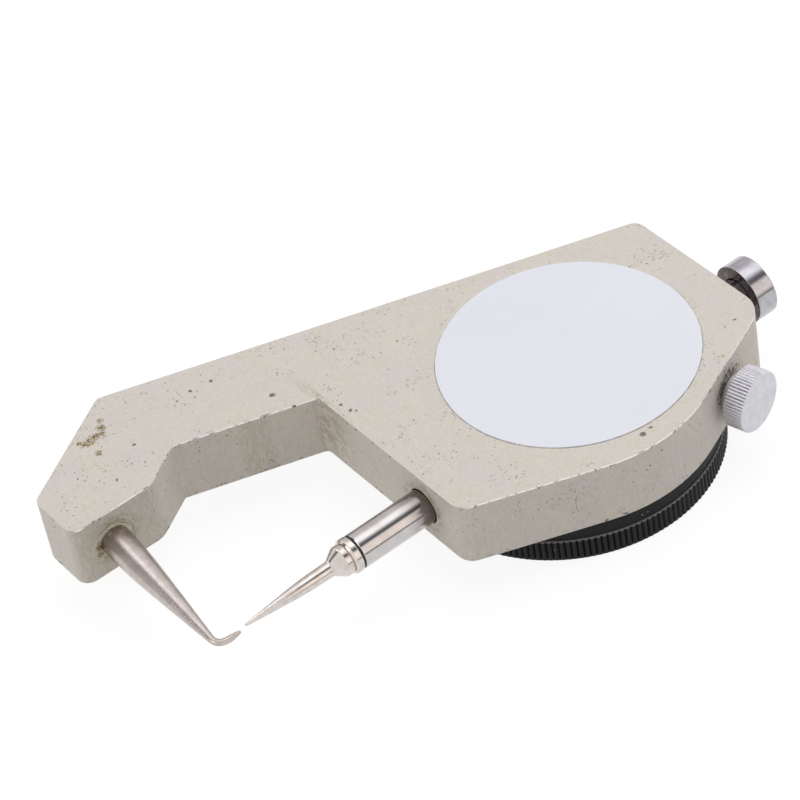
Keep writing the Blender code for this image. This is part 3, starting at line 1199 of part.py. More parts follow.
def build_bezel(carrier):
    """Knurled bezel with the dial on its ledge and the crystal in its groove."""
    top = -SIDE_GAP
    lip_low = top - (BASE_THICK - BASE_FLANGE_THICK - SIDE_GAP)
    ledge = -dial_depth() - DIAL_THICK - SIDE_GAP
    low = -BEZEL_DEPTH
    groove_low = low + CRYSTAL_LIP
    groove_high = groove_low + CRYSTAL_THICK + 2 * SEAT_GAP
    recess = BEZEL_RECESS_RADIUS
    groove = CRYSTAL_RADIUS + FIT_GAP
    root_radius = BEZEL_KNURL_RADIUS - BEZEL_KNURL_DEPTH
    knurl_top = -BEZEL_BAND_DEPTH - BEZEL_EDGE
    knurl_low = knurl_top - BEZEL_KNURL_HEIGHT
    edge = BEZEL_EDGE
    profile = [
        (BASE_BODY_RADIUS + SIDE_GAP, top),
        (BEZEL_BAND_RADIUS - edge, top),
        (BEZEL_BAND_RADIUS, top - edge),
        (BEZEL_BAND_RADIUS, -BEZEL_BAND_DEPTH),
        (root_radius, knurl_top),
        (root_radius, knurl_low),
        (root_radius - edge, low),
        (BEZEL_MOUTH_RADIUS, low),
        (BEZEL_MOUTH_RADIUS, groove_low),
        (groove, groove_low),
        (groove, groove_high),
        (BEZEL_WALL_RADIUS, groove_high),
        (BEZEL_WALL_RADIUS, ledge),
        (recess, ledge),
        (recess, lip_low),
        (BASE_BODY_RADIUS + SIDE_GAP, lip_low),
    ]
    mesh = turned_mesh("bezel", profile, FINE_SIDES, closed=True)
    bezel = add_piece("bezel", mesh, BLACK_PLASTIC, carrier)
    knurl = knurl_mesh("bezel_knurl", (recess + root_radius) / 2, BEZEL_KNURL_RADIUS,
                       BEZEL_KNURL_DEPTH, BEZEL_KNURL_COUNT, knurl_low, knurl_top)
    add_cutter("bezel_knurl", knurl, bezel, operation="UNION")

    dial_top = -dial_depth()
    dial = [circle_outline(Vector((0.0, 0.0)), BASE_FLANGE_RADIUS, FINE_SIDES),
            circle_outline(Vector((0.0, 0.0)), DIAL_HOLE_RADIUS, SMALL_SIDES)]
    mesh = plate_mesh("dial", dial, dial_top - DIAL_THICK, dial_top)
    add_piece("dial", mesh, DIAL_WHITE, carrier)

    glass_low = groove_low + SEAT_GAP
    glass_high = glass_low + CRYSTAL_THICK
    mesh = turned_mesh("crystal", [
        (0.0, glass_low), (CRYSTAL_RADIUS, glass_low),
        (CRYSTAL_RADIUS, glass_high), (0.0, glass_high)], FINE_SIDES)
    add_piece("crystal", mesh, CLEAR_ACRYLIC, carrier)


def stand_on_bezel(root):
    """Move the gauge so that it stands on its bezel with the origin under its middle."""
    bpy.context.view_layer.update()
    graph = bpy.context.evaluated_depsgraph_get()
    corners = []
    for piece in bpy.data.objects:
        if piece.type != "MESH" or piece.hide_render:
            continue
        shape = piece.evaluated_get(graph)
        corners += [shape.matrix_world @ Vector(corner) for corner in shape.bound_box]
    lowest = [min(corner[axis] for corner in corners) for axis in range(3)]
    highest = [max(corner[axis] for corner in corners) for axis in range(3)]
    root.location = (-(lowest[0] + highest[0]) / 2, -(lowest[1] + highest[1]) / 2, -lowest[2])
    bpy.context.view_layer.update()


def build_gauge():
    """Build every piece of the gauge under its root and joint empties."""
    clear_scene()
    root = new_empty("gauge", (0, 0, 0))
    spindle = new_empty("spindle_axis", (0, 0, SPINDLE_Z), root)
    lock_feed = new_empty("lock_feed_axis", (LOCK_SPINDLE_X, 0, SPINDLE_Z), root)
    lock_turn = new_empty("lock_turn_axis", (0, 0, 0), lock_feed)
    bezel = new_empty("bezel_axis", (*DIAL_CENTRE, 0), root)
    carriers = {name: new_empty(name + "_axis", (*centre, 0), root)
                for name, centre in arbor_centres().items()}
    build_frame(root)
    build_label(root)
    build_anvil(root)
    build_spindle(spindle)
    build_contact(spindle)
    build_cap(spindle)
    build_bushes(root)
    build_guide(root)
    build_lock(lock_feed, lock_turn)
    build_plates(root)
    build_train(carriers)
    build_hairspring(root)
    build_base(root)
    build_pointer(carriers["centre"])
    build_bezel(bezel)
    stand_on_bezel(root)


if __name__ == "__main__":
    build_gauge()
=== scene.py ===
"""Dressed scene of a handheld dial thickness gauge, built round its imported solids.

Sizes in the classes are millimetres on the gauge's drawing: X runs along the spindle towards the
lifting cap, Y towards the arm, Z from the dial to the back of the casting, and the zero is the foot
of the spindle's axis on the casting's dial side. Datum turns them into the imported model's metres.
"""

from __future__ import annotations

import json
import logging
import math
import random
from dataclasses import dataclass
from enum import Enum
from typing import Callable, Sequence, Union

import bmesh
import bpy
from mathutils import Matrix, Vector

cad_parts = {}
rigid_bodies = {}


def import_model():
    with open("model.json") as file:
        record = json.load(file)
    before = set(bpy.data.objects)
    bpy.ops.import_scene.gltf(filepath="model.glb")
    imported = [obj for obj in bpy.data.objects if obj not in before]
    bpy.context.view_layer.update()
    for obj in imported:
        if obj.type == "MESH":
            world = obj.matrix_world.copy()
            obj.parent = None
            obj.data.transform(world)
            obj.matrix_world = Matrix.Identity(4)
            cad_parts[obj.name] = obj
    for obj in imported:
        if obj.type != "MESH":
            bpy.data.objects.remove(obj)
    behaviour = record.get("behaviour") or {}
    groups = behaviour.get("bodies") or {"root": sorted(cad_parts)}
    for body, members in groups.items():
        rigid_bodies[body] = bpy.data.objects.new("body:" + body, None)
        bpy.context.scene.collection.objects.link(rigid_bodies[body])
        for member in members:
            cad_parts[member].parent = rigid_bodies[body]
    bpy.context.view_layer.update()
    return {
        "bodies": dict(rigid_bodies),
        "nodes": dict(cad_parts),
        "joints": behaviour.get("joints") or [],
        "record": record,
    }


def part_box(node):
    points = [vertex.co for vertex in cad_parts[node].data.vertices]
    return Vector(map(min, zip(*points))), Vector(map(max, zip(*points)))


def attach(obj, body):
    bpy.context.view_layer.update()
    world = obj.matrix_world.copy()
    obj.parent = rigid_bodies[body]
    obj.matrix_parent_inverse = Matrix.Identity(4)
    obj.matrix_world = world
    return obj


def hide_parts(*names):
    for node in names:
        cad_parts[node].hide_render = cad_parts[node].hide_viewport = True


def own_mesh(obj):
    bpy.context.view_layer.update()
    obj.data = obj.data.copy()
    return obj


LOG = logging.getLogger("gauge")
MM = 0.001
FULL_TURN = 2 * math.pi
QUARTER = math.pi / 2
DIAL_OFFSET = 7.1
GROOVE_POWER = 3.0
X_AXIS, Y_AXIS, Z_AXIS = (1.0, 0.0, 0.0), (0.0, 1.0, 0.0), (0.0, 0.0, 1.0)
Colour = tuple[float, float, float]
Point = tuple[float, float, float]


class Body(Enum):
    """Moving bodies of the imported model."""

    FRAME = "frame_body"
    SPINDLE = "spindle_body"
    BEZEL = "bezel_body"
    LOCK = "lock_screw_body"


class Slot(Enum):
    """Material slots of the record, one passed with each new piece."""

    PAINT = "cream_paint"
    LABEL = "label_vinyl"
    TURNED = "turned_steel"
    CHROME = "chrome_rod"
    SPRING = "spring_steel"
    NICKEL = "satin_nickel"
    PLASTIC = "black_plastic"
    INK = "pointer_black"


@dataclass(frozen=True)
class Datum:
    """Place of the drawing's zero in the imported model, in millimetres."""

    origin: Vector

    @classmethod
    def from_frame(cls, dial_offset: float) -> "Datum":
        """Read the zero from the crystal's and the casting's boxes.

        Args:
            dial_offset: height of the dial's centre over the spindle's axis.

        Returns:
            The datum that all pieces are built on.
        """
        low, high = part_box("crystal")
        floor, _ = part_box("frame")
        centre = (low + high) / 2 / MM
        return cls(Vector((centre.x, centre.y - dial_offset, floor.z / MM)))

    def place(self, point: Sequence[float]) -> Vector:
        """Drawn millimetres to the model's metres."""
        return (Vector(point) + self.origin) * MM


Operand = Union["Flow", float, Sequence[float]]


class Flow:
    """Output of a shader node that takes part in plain arithmetic."""

    def __init__(self, bench: "Bench", socket: bpy.types.NodeSocket) -> None:
        """Keep the bench that makes further nodes, and the socket."""
        self.bench = bench
        self.socket = socket

    @property
    def is_number(self) -> bool:
        """True for a value, False for a colour or a vector."""
        return self.socket.type == "VALUE"

    def _join(self, operation: str, first: Operand, second: Operand) -> "Flow":
        """Add the Math or Vector Math node that joins two operands.

        Args:
            operation: name of the node's operation.
            first: left operand.
            second: right operand.

        Returns:
            The node's result.
        """
        plain = all(
            item.is_number if isinstance(item, Flow) else isinstance(item, (int, float))
            for item in (first, second)
        )
        if not plain:
            first, second = (
                (item,) * 3 if isinstance(item, (int, float)) else item for item in (first, second))
        kind = "ShaderNodeMath" if plain else "ShaderNodeVectorMath"
        return self.bench.node(kind, {"operation": operation}, {0: first, 1: second})

    def __add__(self, other: Operand) -> "Flow":
        """Sum."""
        return self._join("ADD", self, other)

    __radd__ = __add__

    def __sub__(self, other: Operand) -> "Flow":
        """Difference."""
        return self._join("SUBTRACT", self, other)

    def __rsub__(self, other: Operand) -> "Flow":
        """Difference, with this flow on the right."""
        return self._join("SUBTRACT", other, self)

    def __mul__(self, other: Operand) -> "Flow":
        """Product."""
        return self._join("MULTIPLY", self, other)

    __rmul__ = __mul__

    def __lt__(self, other: Operand) -> "Flow":
        """One where this flow is the smaller."""
        return self._join("LESS_THAN", self, other)

    def __abs__(self) -> "Flow":
        """Size without the sign."""
        return self.bench.node("ShaderNodeMath", {"operation": "ABSOLUTE"}, {0: self})

    def greatest(self, other: Operand) -> "Flow":
        """The greater of two values."""
        return self._join("MAXIMUM", self, other)

    def rise(self, low: float, high: float) -> "Flow":
        """Soft step from zero at low to one at high."""
        return self.bench.node(
            "ShaderNodeMapRange", {"interpolation_type": "SMOOTHSTEP"},
            {"Value": self, "From Min": low, "From Max": high})

    def fall(self, low: float, high: float) -> "Flow":
        """Soft step from one at low to zero at high."""
        return 1.0 - self.rise(low, high)

    def near(self, level: float, inner: float, outer: float) -> "Flow":
        """One close to a level, and zero from the outer distance on."""
        return abs(self - level).fall(inner, outer)

    def _measured(self, operation: str, other: Sequence[float]) -> "Flow":
        """Number that Vector Math makes of this vector and a fixed one."""
        return self.bench.node(
            "ShaderNodeVectorMath", {"operation": operation}, {0: self, 1: other}, "Value")

    def dot(self, direction: Sequence[float]) -> "Flow":
        """Length of a vector along a direction."""
        return self._measured("DOT_PRODUCT", direction)

    def distance(self, point: Sequence[float]) -> "Flow":
        """Distance from a point."""
        return self._measured("DISTANCE", point)

    def off_axis(self, point: Sequence[float], axis: Sequence[float]) -> "Flow":
        """Distance from the axis that runs through a point."""
        across = self.bench.node(
            "ShaderNodeVectorMath", {"operation": "CROSS_PRODUCT"}, {0: self - point, 1: axis})
        return across.distance((0.0, 0.0, 0.0))


class Bench:
    """Node tree, with the datum that a material's patterns are laid out on."""

    def __init__(self, tree: bpy.types.NodeTree, datum: Datum | None = None) -> None:
        """Keep the tree and the datum."""
        self.tree = tree
        self.datum = datum

    def node(
        self, kind: str, settings: dict | None = None, inputs: dict | None = None,
        output: Union[int, str] = 0,
    ) -> Flow:
        """Add a node.

        Args:
            kind: the node's type.
            settings: its options.
            inputs: values or flows by the socket's name or number.
            output: name or number of the socket that is wanted.

        Returns:
            The wanted output.
        """
        made = self.tree.nodes.new(kind)
        for name, value in (settings or {}).items():
            setattr(made, name, value)
        for key, value in (inputs or {}).items():
            self.feed(made.inputs[key], value)
        return Flow(self, made.outputs[output])

    def feed(self, socket: bpy.types.NodeSocket, value: Operand) -> None:
        """Link a flow to a socket, or set the socket's own value."""
        if isinstance(value, Flow):
            self.tree.links.new(value.socket, socket)
        elif isinstance(value, (int, float)):
            socket.default_value = value
        else:
            padded = (*value, 1.0) if socket.type == "RGBA" and len(value) == 3 else tuple(value)
            socket.default_value = padded

    def close(self, kind: str, surface: Flow) -> None:
        """Add the tree's output node and link its surface."""
        self.feed(self.tree.nodes.new(kind).inputs[0], surface)

    def drawn(self) -> Flow:
        """Place on the surface in drawn millimetres."""
        where = self.node("ShaderNodeTexCoord", output="Object")
        return where * (1 / MM) - tuple(self.datum.origin)

    def noise(self, where: Operand, scale: float, detail: float = 2.0, **more: float) -> Flow:
        """Soft noise, about one half on average."""
        inputs = {"Vector": where, "Scale": scale, "Detail": detail}
        inputs |= {name.capitalize(): value for name, value in more.items()}
        return self.node("ShaderNodeTexNoise", {}, inputs)

    def lines(self, along: Flow, scale: float) -> Flow:
        """Noise that changes along one length only."""
        inputs = {"W": along, "Scale": scale, "Detail": 3.0}
        return self.node("ShaderNodeTexNoise", {"noise_dimensions": "1D"}, inputs)

    def specks(self, where: Operand, scale: float, share: float, size: float) -> Flow:
        """Scattered spots.

        Args:
            where: place on the surface.
            scale: cells to the millimetre.
            share: share of the cells that hold a spot.
            size: radius of a spot, in cells.

        Returns:
            One inside the spots and zero outside.
        """
        inputs = {"Vector": where, "Scale": scale}
        reach = self.node("ShaderNodeTexVoronoi", {}, inputs, "Distance")
        colour = self.node("ShaderNodeTexVoronoi", {}, inputs, "Color")
        lot = self.node("ShaderNodeSeparateColor", {}, {0: colour}, 0)
        spread = self.node("ShaderNodeSeparateColor", {}, {0: colour}, 1)
        return (lot < share) * reach.fall(size * 0.45, size) * spread.rise(0.0, 0.5)

    def mix(self, mask: Operand, first: Operand, second: Operand) -> Flow:
        """Colour that goes from the first to the second with the mask."""
        return self.node("ShaderNodeMix", {"data_type": "RGBA"}, {0: mask, 6: first, 7: second}, 2)

    def bump(self, height: Flow, distance: float) -> Flow:
        """Normal of a surface that rises by a height, in millimetres."""
        inputs = {"Strength": 1.0, "Distance": distance * MM, "Height": height}
        return self.node("ShaderNodeBump", {}, inputs, "Normal")


@dataclass(frozen=True)
class Finish:
    """Surface of a piece. The subclasses say how it is painted."""

    name: str

    def material(self, datum: Datum) -> bpy.types.Material:
        """Make the material, or fetch it where it is there already.

        Args:
            datum: zero of the drawing that the pattern is laid out on.

        Returns:
            The finished material.
        """
        held = bpy.data.materials.get(self.name)
        if held is not None:
            return held
        made = bpy.data.materials.new(self.name)
        made.use_nodes = True
        bench = Bench(made.node_tree, datum)
        shader = made.node_tree.nodes["Principled BSDF"]
        for socket, value in self.sockets(bench).items():
            bench.feed(shader.inputs[socket], value)
        return made

    def sockets(self, bench: Bench) -> dict[str, Operand]:
        """Values and flows of the shader's sockets."""
        raise NotImplementedError


@dataclass(frozen=True)
class CreamPaint(Finish):
    """Thick enamel on a rough casting: mottled, flecked, chipped at the rims, stained by rust, with
    painted shade in the seams and a painted highlight along the front rims.
    """

    base: Colour = (0.755, 0.696, 0.628)
    pink: Colour = (0.742, 0.680, 0.646)
    green: Colour = (0.712, 0.672, 0.570)
    pale: Colour = (0.870, 0.835, 0.775)
    bare: Colour = (0.940, 0.912, 0.868)
    smear: Colour = (0.540, 0.500, 0.400)
    fleck: Colour = (0.350, 0.270, 0.170)
    core: Colour = (0.085, 0.066, 0.045)
    olive: Colour = (0.400, 0.370, 0.235)
    gold: Colour = (0.430, 0.320, 0.130)
    rust: Colour = (0.120, 0.072, 0.028)
    top_z: float = 14.0
    shake: float = 0.7
    rim_depths: tuple[float, float] = (0.48, 0.34)
    chip_depths: tuple[float, float] = (0.75, 0.55)
    face_band: tuple[float, float] = (0.6, 1.4)
    rust_places: tuple[tuple[float, float, float, float], ...] = (
        (-70.2, 55.8, 14.0, 0.6), (-71.2, 54.1, 14.0, 0.9), (-72.3, 52.7, 14.0, 1.0),
        (-73.5, 52.8, 14.0, 0.9), (-74.6, 52.6, 14.0, 1.0), (-75.7, 52.6, 14.0, 0.9),
        (-76.6, 53.6, 14.0, 0.5), (-75.3, 48.8, 14.0, 0.7), (-86.2, 35.0, 7.0, 0.9),
        (-86.5, 35.0, 5.4, 0.6),
    )
    pits: tuple[tuple[float, float, float], ...] = (
        (-1.9, -20.8, 0.62), (0.2, -20.6, 0.32), (-43.2, 37.4, 0.55), (-35.7, 25.8, 0.34),
        (-35.4, 23.3, 0.36), (-34.6, 22.4, 0.26), (-53.5, 49.7, 0.34), (-49.0, 49.1, 0.40),
        (-69.3, 45.8, 0.28), (-81.9, 46.1, 0.24), (-76.9, 40.5, 0.26), (-70.5, 40.5, 0.20),
        (-73.4, 43.9, 0.18),
    )
    anvil_root: Point = (-82.8, 35.0, 7.0)
    anvil_along: Point = (0.057, 0.998, 0.0)
    lock_root: Point = (16.05, 0.0, 7.0)
    lock_along: Point = (0.2605, -0.9655, 0.0)
    throat_x: float = -37.6
    throat_corner: Point = (-37.6, 30.0, 8.0)
    rod_gap: float = 3.76
    label_centre: Point = (2.6, 5.5, 0.0)
    label_radius: float = 25.0

    def sockets(self, bench: Bench) -> dict[str, Operand]:
        """Mottled enamel with its flecks, chipped rims, rust, rings of thick paint, painted shade
        in the seams and a painted highlight on the front rims.
        """
        where = bench.drawn()
        shake = bench.node(
            "ShaderNodeTexNoise", {}, {"Vector": where, "Scale": 1.4, "Detail": 3.0}, "Color")
        bent = where + (shake - (0.5, 0.5, 0.5)) * self.shake
        facing = bench.node("ShaderNodeTexCoord", output="Normal")
        upward = abs(facing.dot(Z_AXIS))
        side = upward.fall(0.15, 0.60)
        fine = bench.noise(where, 1.7, 5.0, roughness=0.65)

        colour = self._mottling(bench, where, fine, side)
        crumbs = self._crumbs(bench, bent)
        scratches = self._scratches(bench, bent)
        pits = self._pits(bench, bent)
        marks = crumbs.greatest(scratches * 0.8).greatest(pits)
        # Pale halo round each crumb: a painted highlight of its raised edge.
        colour = bench.mix(crumbs.rise(0.0, 0.30) * 0.25, colour, self.pale)
        colour = bench.mix(marks * 0.80, colour, self.fleck)
        colour = bench.mix((crumbs.rise(0.70, 1.0) * 0.5).greatest(pits * 0.65), colour, self.core)

        rings = self._thick_paint(where, bent)
        from_root = where.off_axis(self.anvil_root, self.anvil_along)
        swirls = bench.noise(where * 0.60 + from_root * (1.1, 0.3, 0.6), 1.0, 5.0, roughness=0.7)
        thick = bench.mix(swirls.rise(0.42, 0.60), self.olive, self.base)
        colour = bench.mix(rings * 0.80, colour, thick)

        rusted = self._rust(bench, bent)
        colour = bench.mix(rusted.rise(0.05, 0.40) * 0.85, colour, self.gold)
        colour = bench.mix(rusted.rise(0.52, 0.80), colour, self.rust)

        # Painted highlight along the top rims that face the front (-Y): near-white and metallic,
        # broken up by noise.
        worn = bench.noise(where, 0.50, 4.0, roughness=0.7)
        towards = facing.dot((0.15, -1.0, 0.0)).rise(0.50, 0.90)
        height = where.dot(Z_AXIS)
        edge = height.rise(*(self.top_z - depth for depth in self.rim_depths))
        rim_highlight = edge * towards * worn.rise(0.37, 0.46)
        colour = bench.mix(rim_highlight, colour, self.bare)
        middle = self.top_z / 2
        ends = abs(height - middle).rise(*(middle - depth for depth in self.chip_depths))
        under = ends * upward.fall(0.45, 0.60)
        chips_and_seam_shade = under * bench.noise(where, 0.75, 4.0, roughness=0.75).rise(0.585, 0.635)
        # The painted shade of the seams joins the chipped paint here; all of it goes to the dark
        # core colour.
        chips_and_seam_shade = chips_and_seam_shade.greatest(self._lock_chips(bench, where)).greatest(self._seams(where, worn))
        colour = bench.mix(chips_and_seam_shade * 0.92, colour, self.core)

        relief = (
            bench.noise(where, 0.30, 3.0) * 0.55 + fine * 0.25
            + crumbs.rise(0.0, 0.30) * 0.30 - marks * 0.80
            + rings * swirls * 0.9 - rusted * 0.5 - chips_and_seam_shade * 0.4
        )
        return {
            "Base Color": colour,
            # Metallic where the rims carry the painted highlight, so that they mirror the room.
            "Metallic": rim_highlight * (1.0 - chips_and_seam_shade) * 0.8,
            "Roughness": 0.38 + fine * 0.16 + chips_and_seam_shade * 0.25 + rusted * 0.25,
            "Normal": bench.bump(relief, 0.15),
            "Specular IOR Level": 0.42,
        }

    def _mottling(self, bench: Bench, where: Flow, fine: Flow, side: Flow) -> Flow:
        """Colour of the sound enamel.

        Args:
            bench: node bench.
            where: place on the surface.
            fine: fine noise.
            side: one on the casting's sides.

        Returns:
            Cream that drifts to pink and green, with brush marks on the sides.
        """
        cloud = bench.noise(where, 0.15, 4.0, roughness=0.6)
        patch = bench.noise(where + (31.0, 17.0, 5.0), 0.45, 4.0, roughness=0.62)
        colour = bench.mix(cloud.rise(0.42, 0.60), self.base, self.pink)
        colour = bench.mix(patch.rise(0.48, 0.66) * 0.75, colour, self.green)
        colour = bench.mix(fine.rise(0.46, 0.70) * 0.36, colour, self.pale)
        colour = bench.mix(fine.fall(0.30, 0.46) * 0.30, colour, self.smear)
        strokes = bench.noise(where * (2.2, 2.2, 0.60), 1.0, 5.0, roughness=0.7)
        colour = bench.mix(side * strokes.rise(0.42, 0.66) * 0.28, colour, self.smear)
        nose = where.dot(Y_AXIS).near(self.anvil_root[1], *self.face_band) * side
        return bench.mix(nose * strokes.rise(0.30, 0.60) * 0.50, colour, self.smear)

    @staticmethod
    def _crumbs(bench: Bench, bent: Flow) -> Flow:
        """Mask of the small crumbs of grime, which lie in clusters."""
        cluster = bench.noise(bent, 0.18, 4.0, roughness=0.65).rise(0.50, 0.68)
        fine = bench.specks(bent * (0.75, 1.40, 1.0), 1.80, cluster * 0.55, 0.36)
        large = bench.specks(bent * (0.75, 1.40, 1.0) + (9.0, 4.0, 2.0), 0.95, cluster * 0.16, 0.28)
        return fine.greatest(large)

    @staticmethod
    def _scratches(bench: Bench, bent: Flow) -> Flow:
        """Mask of the short scratches between the crumbs."""
        marks = bench.noise(bent * (0.85, 1.20, 1.0), 2.1, 3.0, roughness=0.55)
        cluster = bench.noise(bent, 0.17, 3.0, roughness=0.65)
        return (marks + cluster.rise(0.45, 0.66) * 0.135).rise(0.765, 0.81)

    def _pits(self, bench: Bench, bent: Flow) -> Flow:
        """Mask of the larger pits at their places."""
        mask = bench.specks(bent * (0.8, 1.2, 1.0), 0.42, 0.05, 0.12)
        for x, y, radius in self.pits:
            mask = mask.greatest(bent.distance((x, y, self.top_z)).fall(radius * 0.6, radius * 1.2))
        return mask

    def _rust(self, bench: Bench, bent: Flow) -> Flow:
        """Mask of the rust that has come through on the nose.

        Args:
            bench: node bench.
            bent: place on the surface, with ragged outlines.

        Returns:
            Value that rises from the stain's edge to the dark crumbs.
        """
        near = None
        for x, y, z, radius in self.rust_places:
            spot = bent.distance((x, y, z)).fall(radius * 0.4, radius * 2.0)
            near = spot if near is None else near.greatest(spot)
        crumbs = bench.noise(bent, 2.6, 4.0, roughness=0.75)
        return (near * 0.26 + crumbs).rise(0.61, 0.92) * near.rise(0.0, 0.15)

    def _thick_paint(self, where: Flow, bent: Flow) -> Flow:
        """Mask of the thick paint round the anvil's root and the spindle's bore.

        Args:
            where: place on the surface.
            bent: the same, with ragged outlines.

        Returns:
            One in the rings.
        """
        face = where.dot(Y_AXIS).near(self.anvil_root[1], *self.face_band)
        root = bent.off_axis(self.anvil_root, self.anvil_along).fall(3.8, 6.2) * face
        bore = (bent * (0.0, 1.0, 1.0)).distance((0.0, 0.0, self.lock_root[2]))
        wall = where.dot(X_AXIS).near(self.throat_x, *self.face_band)
        corner = bent.distance(self.throat_corner).fall(3.0, 13.0) * 0.75
        return root.greatest(wall * bore.fall(4.0, 7.5).greatest(corner))

    def _seams(self, where: Flow, worn: Flow) -> Flow:
        """Mask of the dark line round the label, grime and painted shade of its edge, and of the
        painted shadow in the bore round the rod.

        Args:
            where: place on the surface.
            worn: noise that thins the label's line.

        Returns:
            One in the lines.
        """
        flat = (where * (1.0, 1.0, 0.0)).distance(self.label_centre)
        above = where.dot(Z_AXIS).rise(self.top_z - 0.3, self.top_z - 0.1)
        # Dark line round the label: grime, and painted shade of the label's edge.
        label = flat.near(self.label_radius, 0.06, 0.20) * above * worn.rise(0.30, 0.60) * 0.8
        # Painted shadow: black on the bore's wall and at its mouth round the rod.
        bore = (where * (0.0, 1.0, 1.0)).distance((0.0, 0.0, self.lock_root[2]))
        mouth = where.dot(X_AXIS).fall(0.0, 1.0)
        return label.greatest(bore.fall(self.rod_gap - 0.06, self.rod_gap) * mouth)

    def _lock_chips(self, bench: Bench, where: Flow) -> Flow:
        """Mask of the chipped, grimy paint round the lock screw."""
        from_root = where - self.lock_root
        near = where.off_axis(self.lock_root, self.lock_along).fall(4.2, 8.5)
        near = near * from_root.dot(self.lock_along).rise(12.0, 15.0)
        near = near * where.dot(Z_AXIS).rise(2.0, 9.0)
        ragged = bench.noise(where, 0.95, 5.0, roughness=0.8)
        return (near * 0.26 + ragged).rise(0.735, 0.80) * 0.9


@dataclass(frozen=True)
class LabelFilm(Finish):
    """Bare satin film, faintly blue, with a soft unevenness and a few dust specks."""

    base: Colour = (0.905, 0.925, 1.000)
    shade: Colour = (0.885, 0.905, 0.990)
    dust: Colour = (0.460, 0.460, 0.480)

    def sockets(self, bench: Bench) -> dict[str, Operand]:
        """Film with slow waves of its height and tint."""
        where = bench.drawn()
        cloud = bench.noise(where, 0.06, 3.0)
        colour = bench.mix(cloud.rise(0.35, 0.65), self.base, self.shade)
        specks = bench.specks(where, 0.20, 0.10, 0.035)
        colour = bench.mix(specks * 0.6, colour, self.dust)
        height = bench.noise(where, 0.14, 2.0) * 0.6 + bench.noise(where, 6.0, 2.0) * 0.02
        return {
            "Base Color": colour,
            "Roughness": 0.36 + cloud * 0.10,
            "Normal": bench.bump(height, 0.08),
            "Specular IOR Level": 0.40,
        }


@dataclass(frozen=True)
class Metal(Finish):
    """Bare metal, turned about an axis or plain, with its stains and handling marks."""

    base: Colour = (0.60, 0.60, 0.62)
    shade: Colour = (0.45, 0.44, 0.45)
    stain: Colour = (0.22, 0.15, 0.09)
    gloss: float = 0.22
    gloss_spread: float = 0.12
    axis_point: Point | None = None
    axis: Point = (1.0, 0.0, 0.0)
    line_scale: float = 9.0
    line_height: float = 0.004
    stain_share: float = 0.10
    line_share: float = 0.35
    scale: float = 0.5
    dull: Colour = (0.30, 0.28, 0.27)
    dull_span: tuple[float, float] | None = None
    grooves: tuple[float, float, float, float] | None = None
    dirt: Colour = (0.11, 0.10, 0.10)

    def sockets(self, bench: Bench) -> dict[str, Operand]:
        """Metal with its tool lines, cloudy tarnish and small stains."""
        where = bench.drawn()
        cloud = bench.noise(where, self.scale, 4.0, roughness=0.6)
        grain = bench.noise(where, self.scale * 14, 3.0)
        lines = grain if self.axis_point is None else self._tool_lines(bench, where)
        colour = bench.mix(cloud.rise(0.36, 0.68), self.base, self.shade)
        colour = bench.mix(lines.rise(0.50, 0.74) * self.line_share, colour, self.shade)
        spots = bench.specks(where, self.scale * 1.6, self.stain_share, 0.2)
        spots = spots * grain.rise(0.30, 0.60)
        colour = bench.mix(spots * 0.6, colour, self.stain)
        # Darker colour over a span along the axis: painted shade on the rod and on the cap's
        # underside; on the anvil, a darker, browner length towards its root.
        if self.dull_span is not None:
            along = (where - self.axis_point).dot(self.axis).rise(*self.dull_span)
            colour = bench.mix(along * cloud.rise(0.20, 0.50), colour, self.dull)
        if self.grooves is not None:
            # Painted shade in the knurl's grooves, darker towards the axis.
            colour = bench.mix(self._groove_dirt(bench, where), colour, self.dirt)
        height = lines + grain * 0.25 - spots * 0.6
        return {
            "Base Color": colour,
            "Metallic": 1.0,
            "Roughness": self.gloss + self.gloss_spread * (cloud * 0.5 + lines * 0.5) + spots * 0.3,
            "Normal": bench.bump(height, self.line_height),
        }

    def _groove_dirt(self, bench: Bench, where: Flow) -> Flow:
        """Mask of the painted shade in the grooves of a knurl.

        Args:
            bench: node bench.
            where: place on the surface.

        Returns:
            One in the grooves, in the length that the knurl takes.
        """
        low, high, start, end = self.grooves
        along = (where - self.axis_point).dot(self.axis)
        uneven = bench.noise(where, 1.6, 3.0) * 0.35 - 0.175
        in_groove_shade = (where.off_axis(self.axis_point, self.axis) + uneven).fall(low, high)
        return in_groove_shade * along.rise(start, start + 0.2) * along.fall(end - 0.2, end)

    def _tool_lines(self, bench: Bench, where: Flow) -> Flow:
        """Noise that runs in lines round the axis on the sides, and in rings on the ends."""
        along = (where - self.axis_point).dot(self.axis)
        reach = where.off_axis(self.axis_point, self.axis)
        return bench.lines(along + reach * 1.3, self.line_scale)


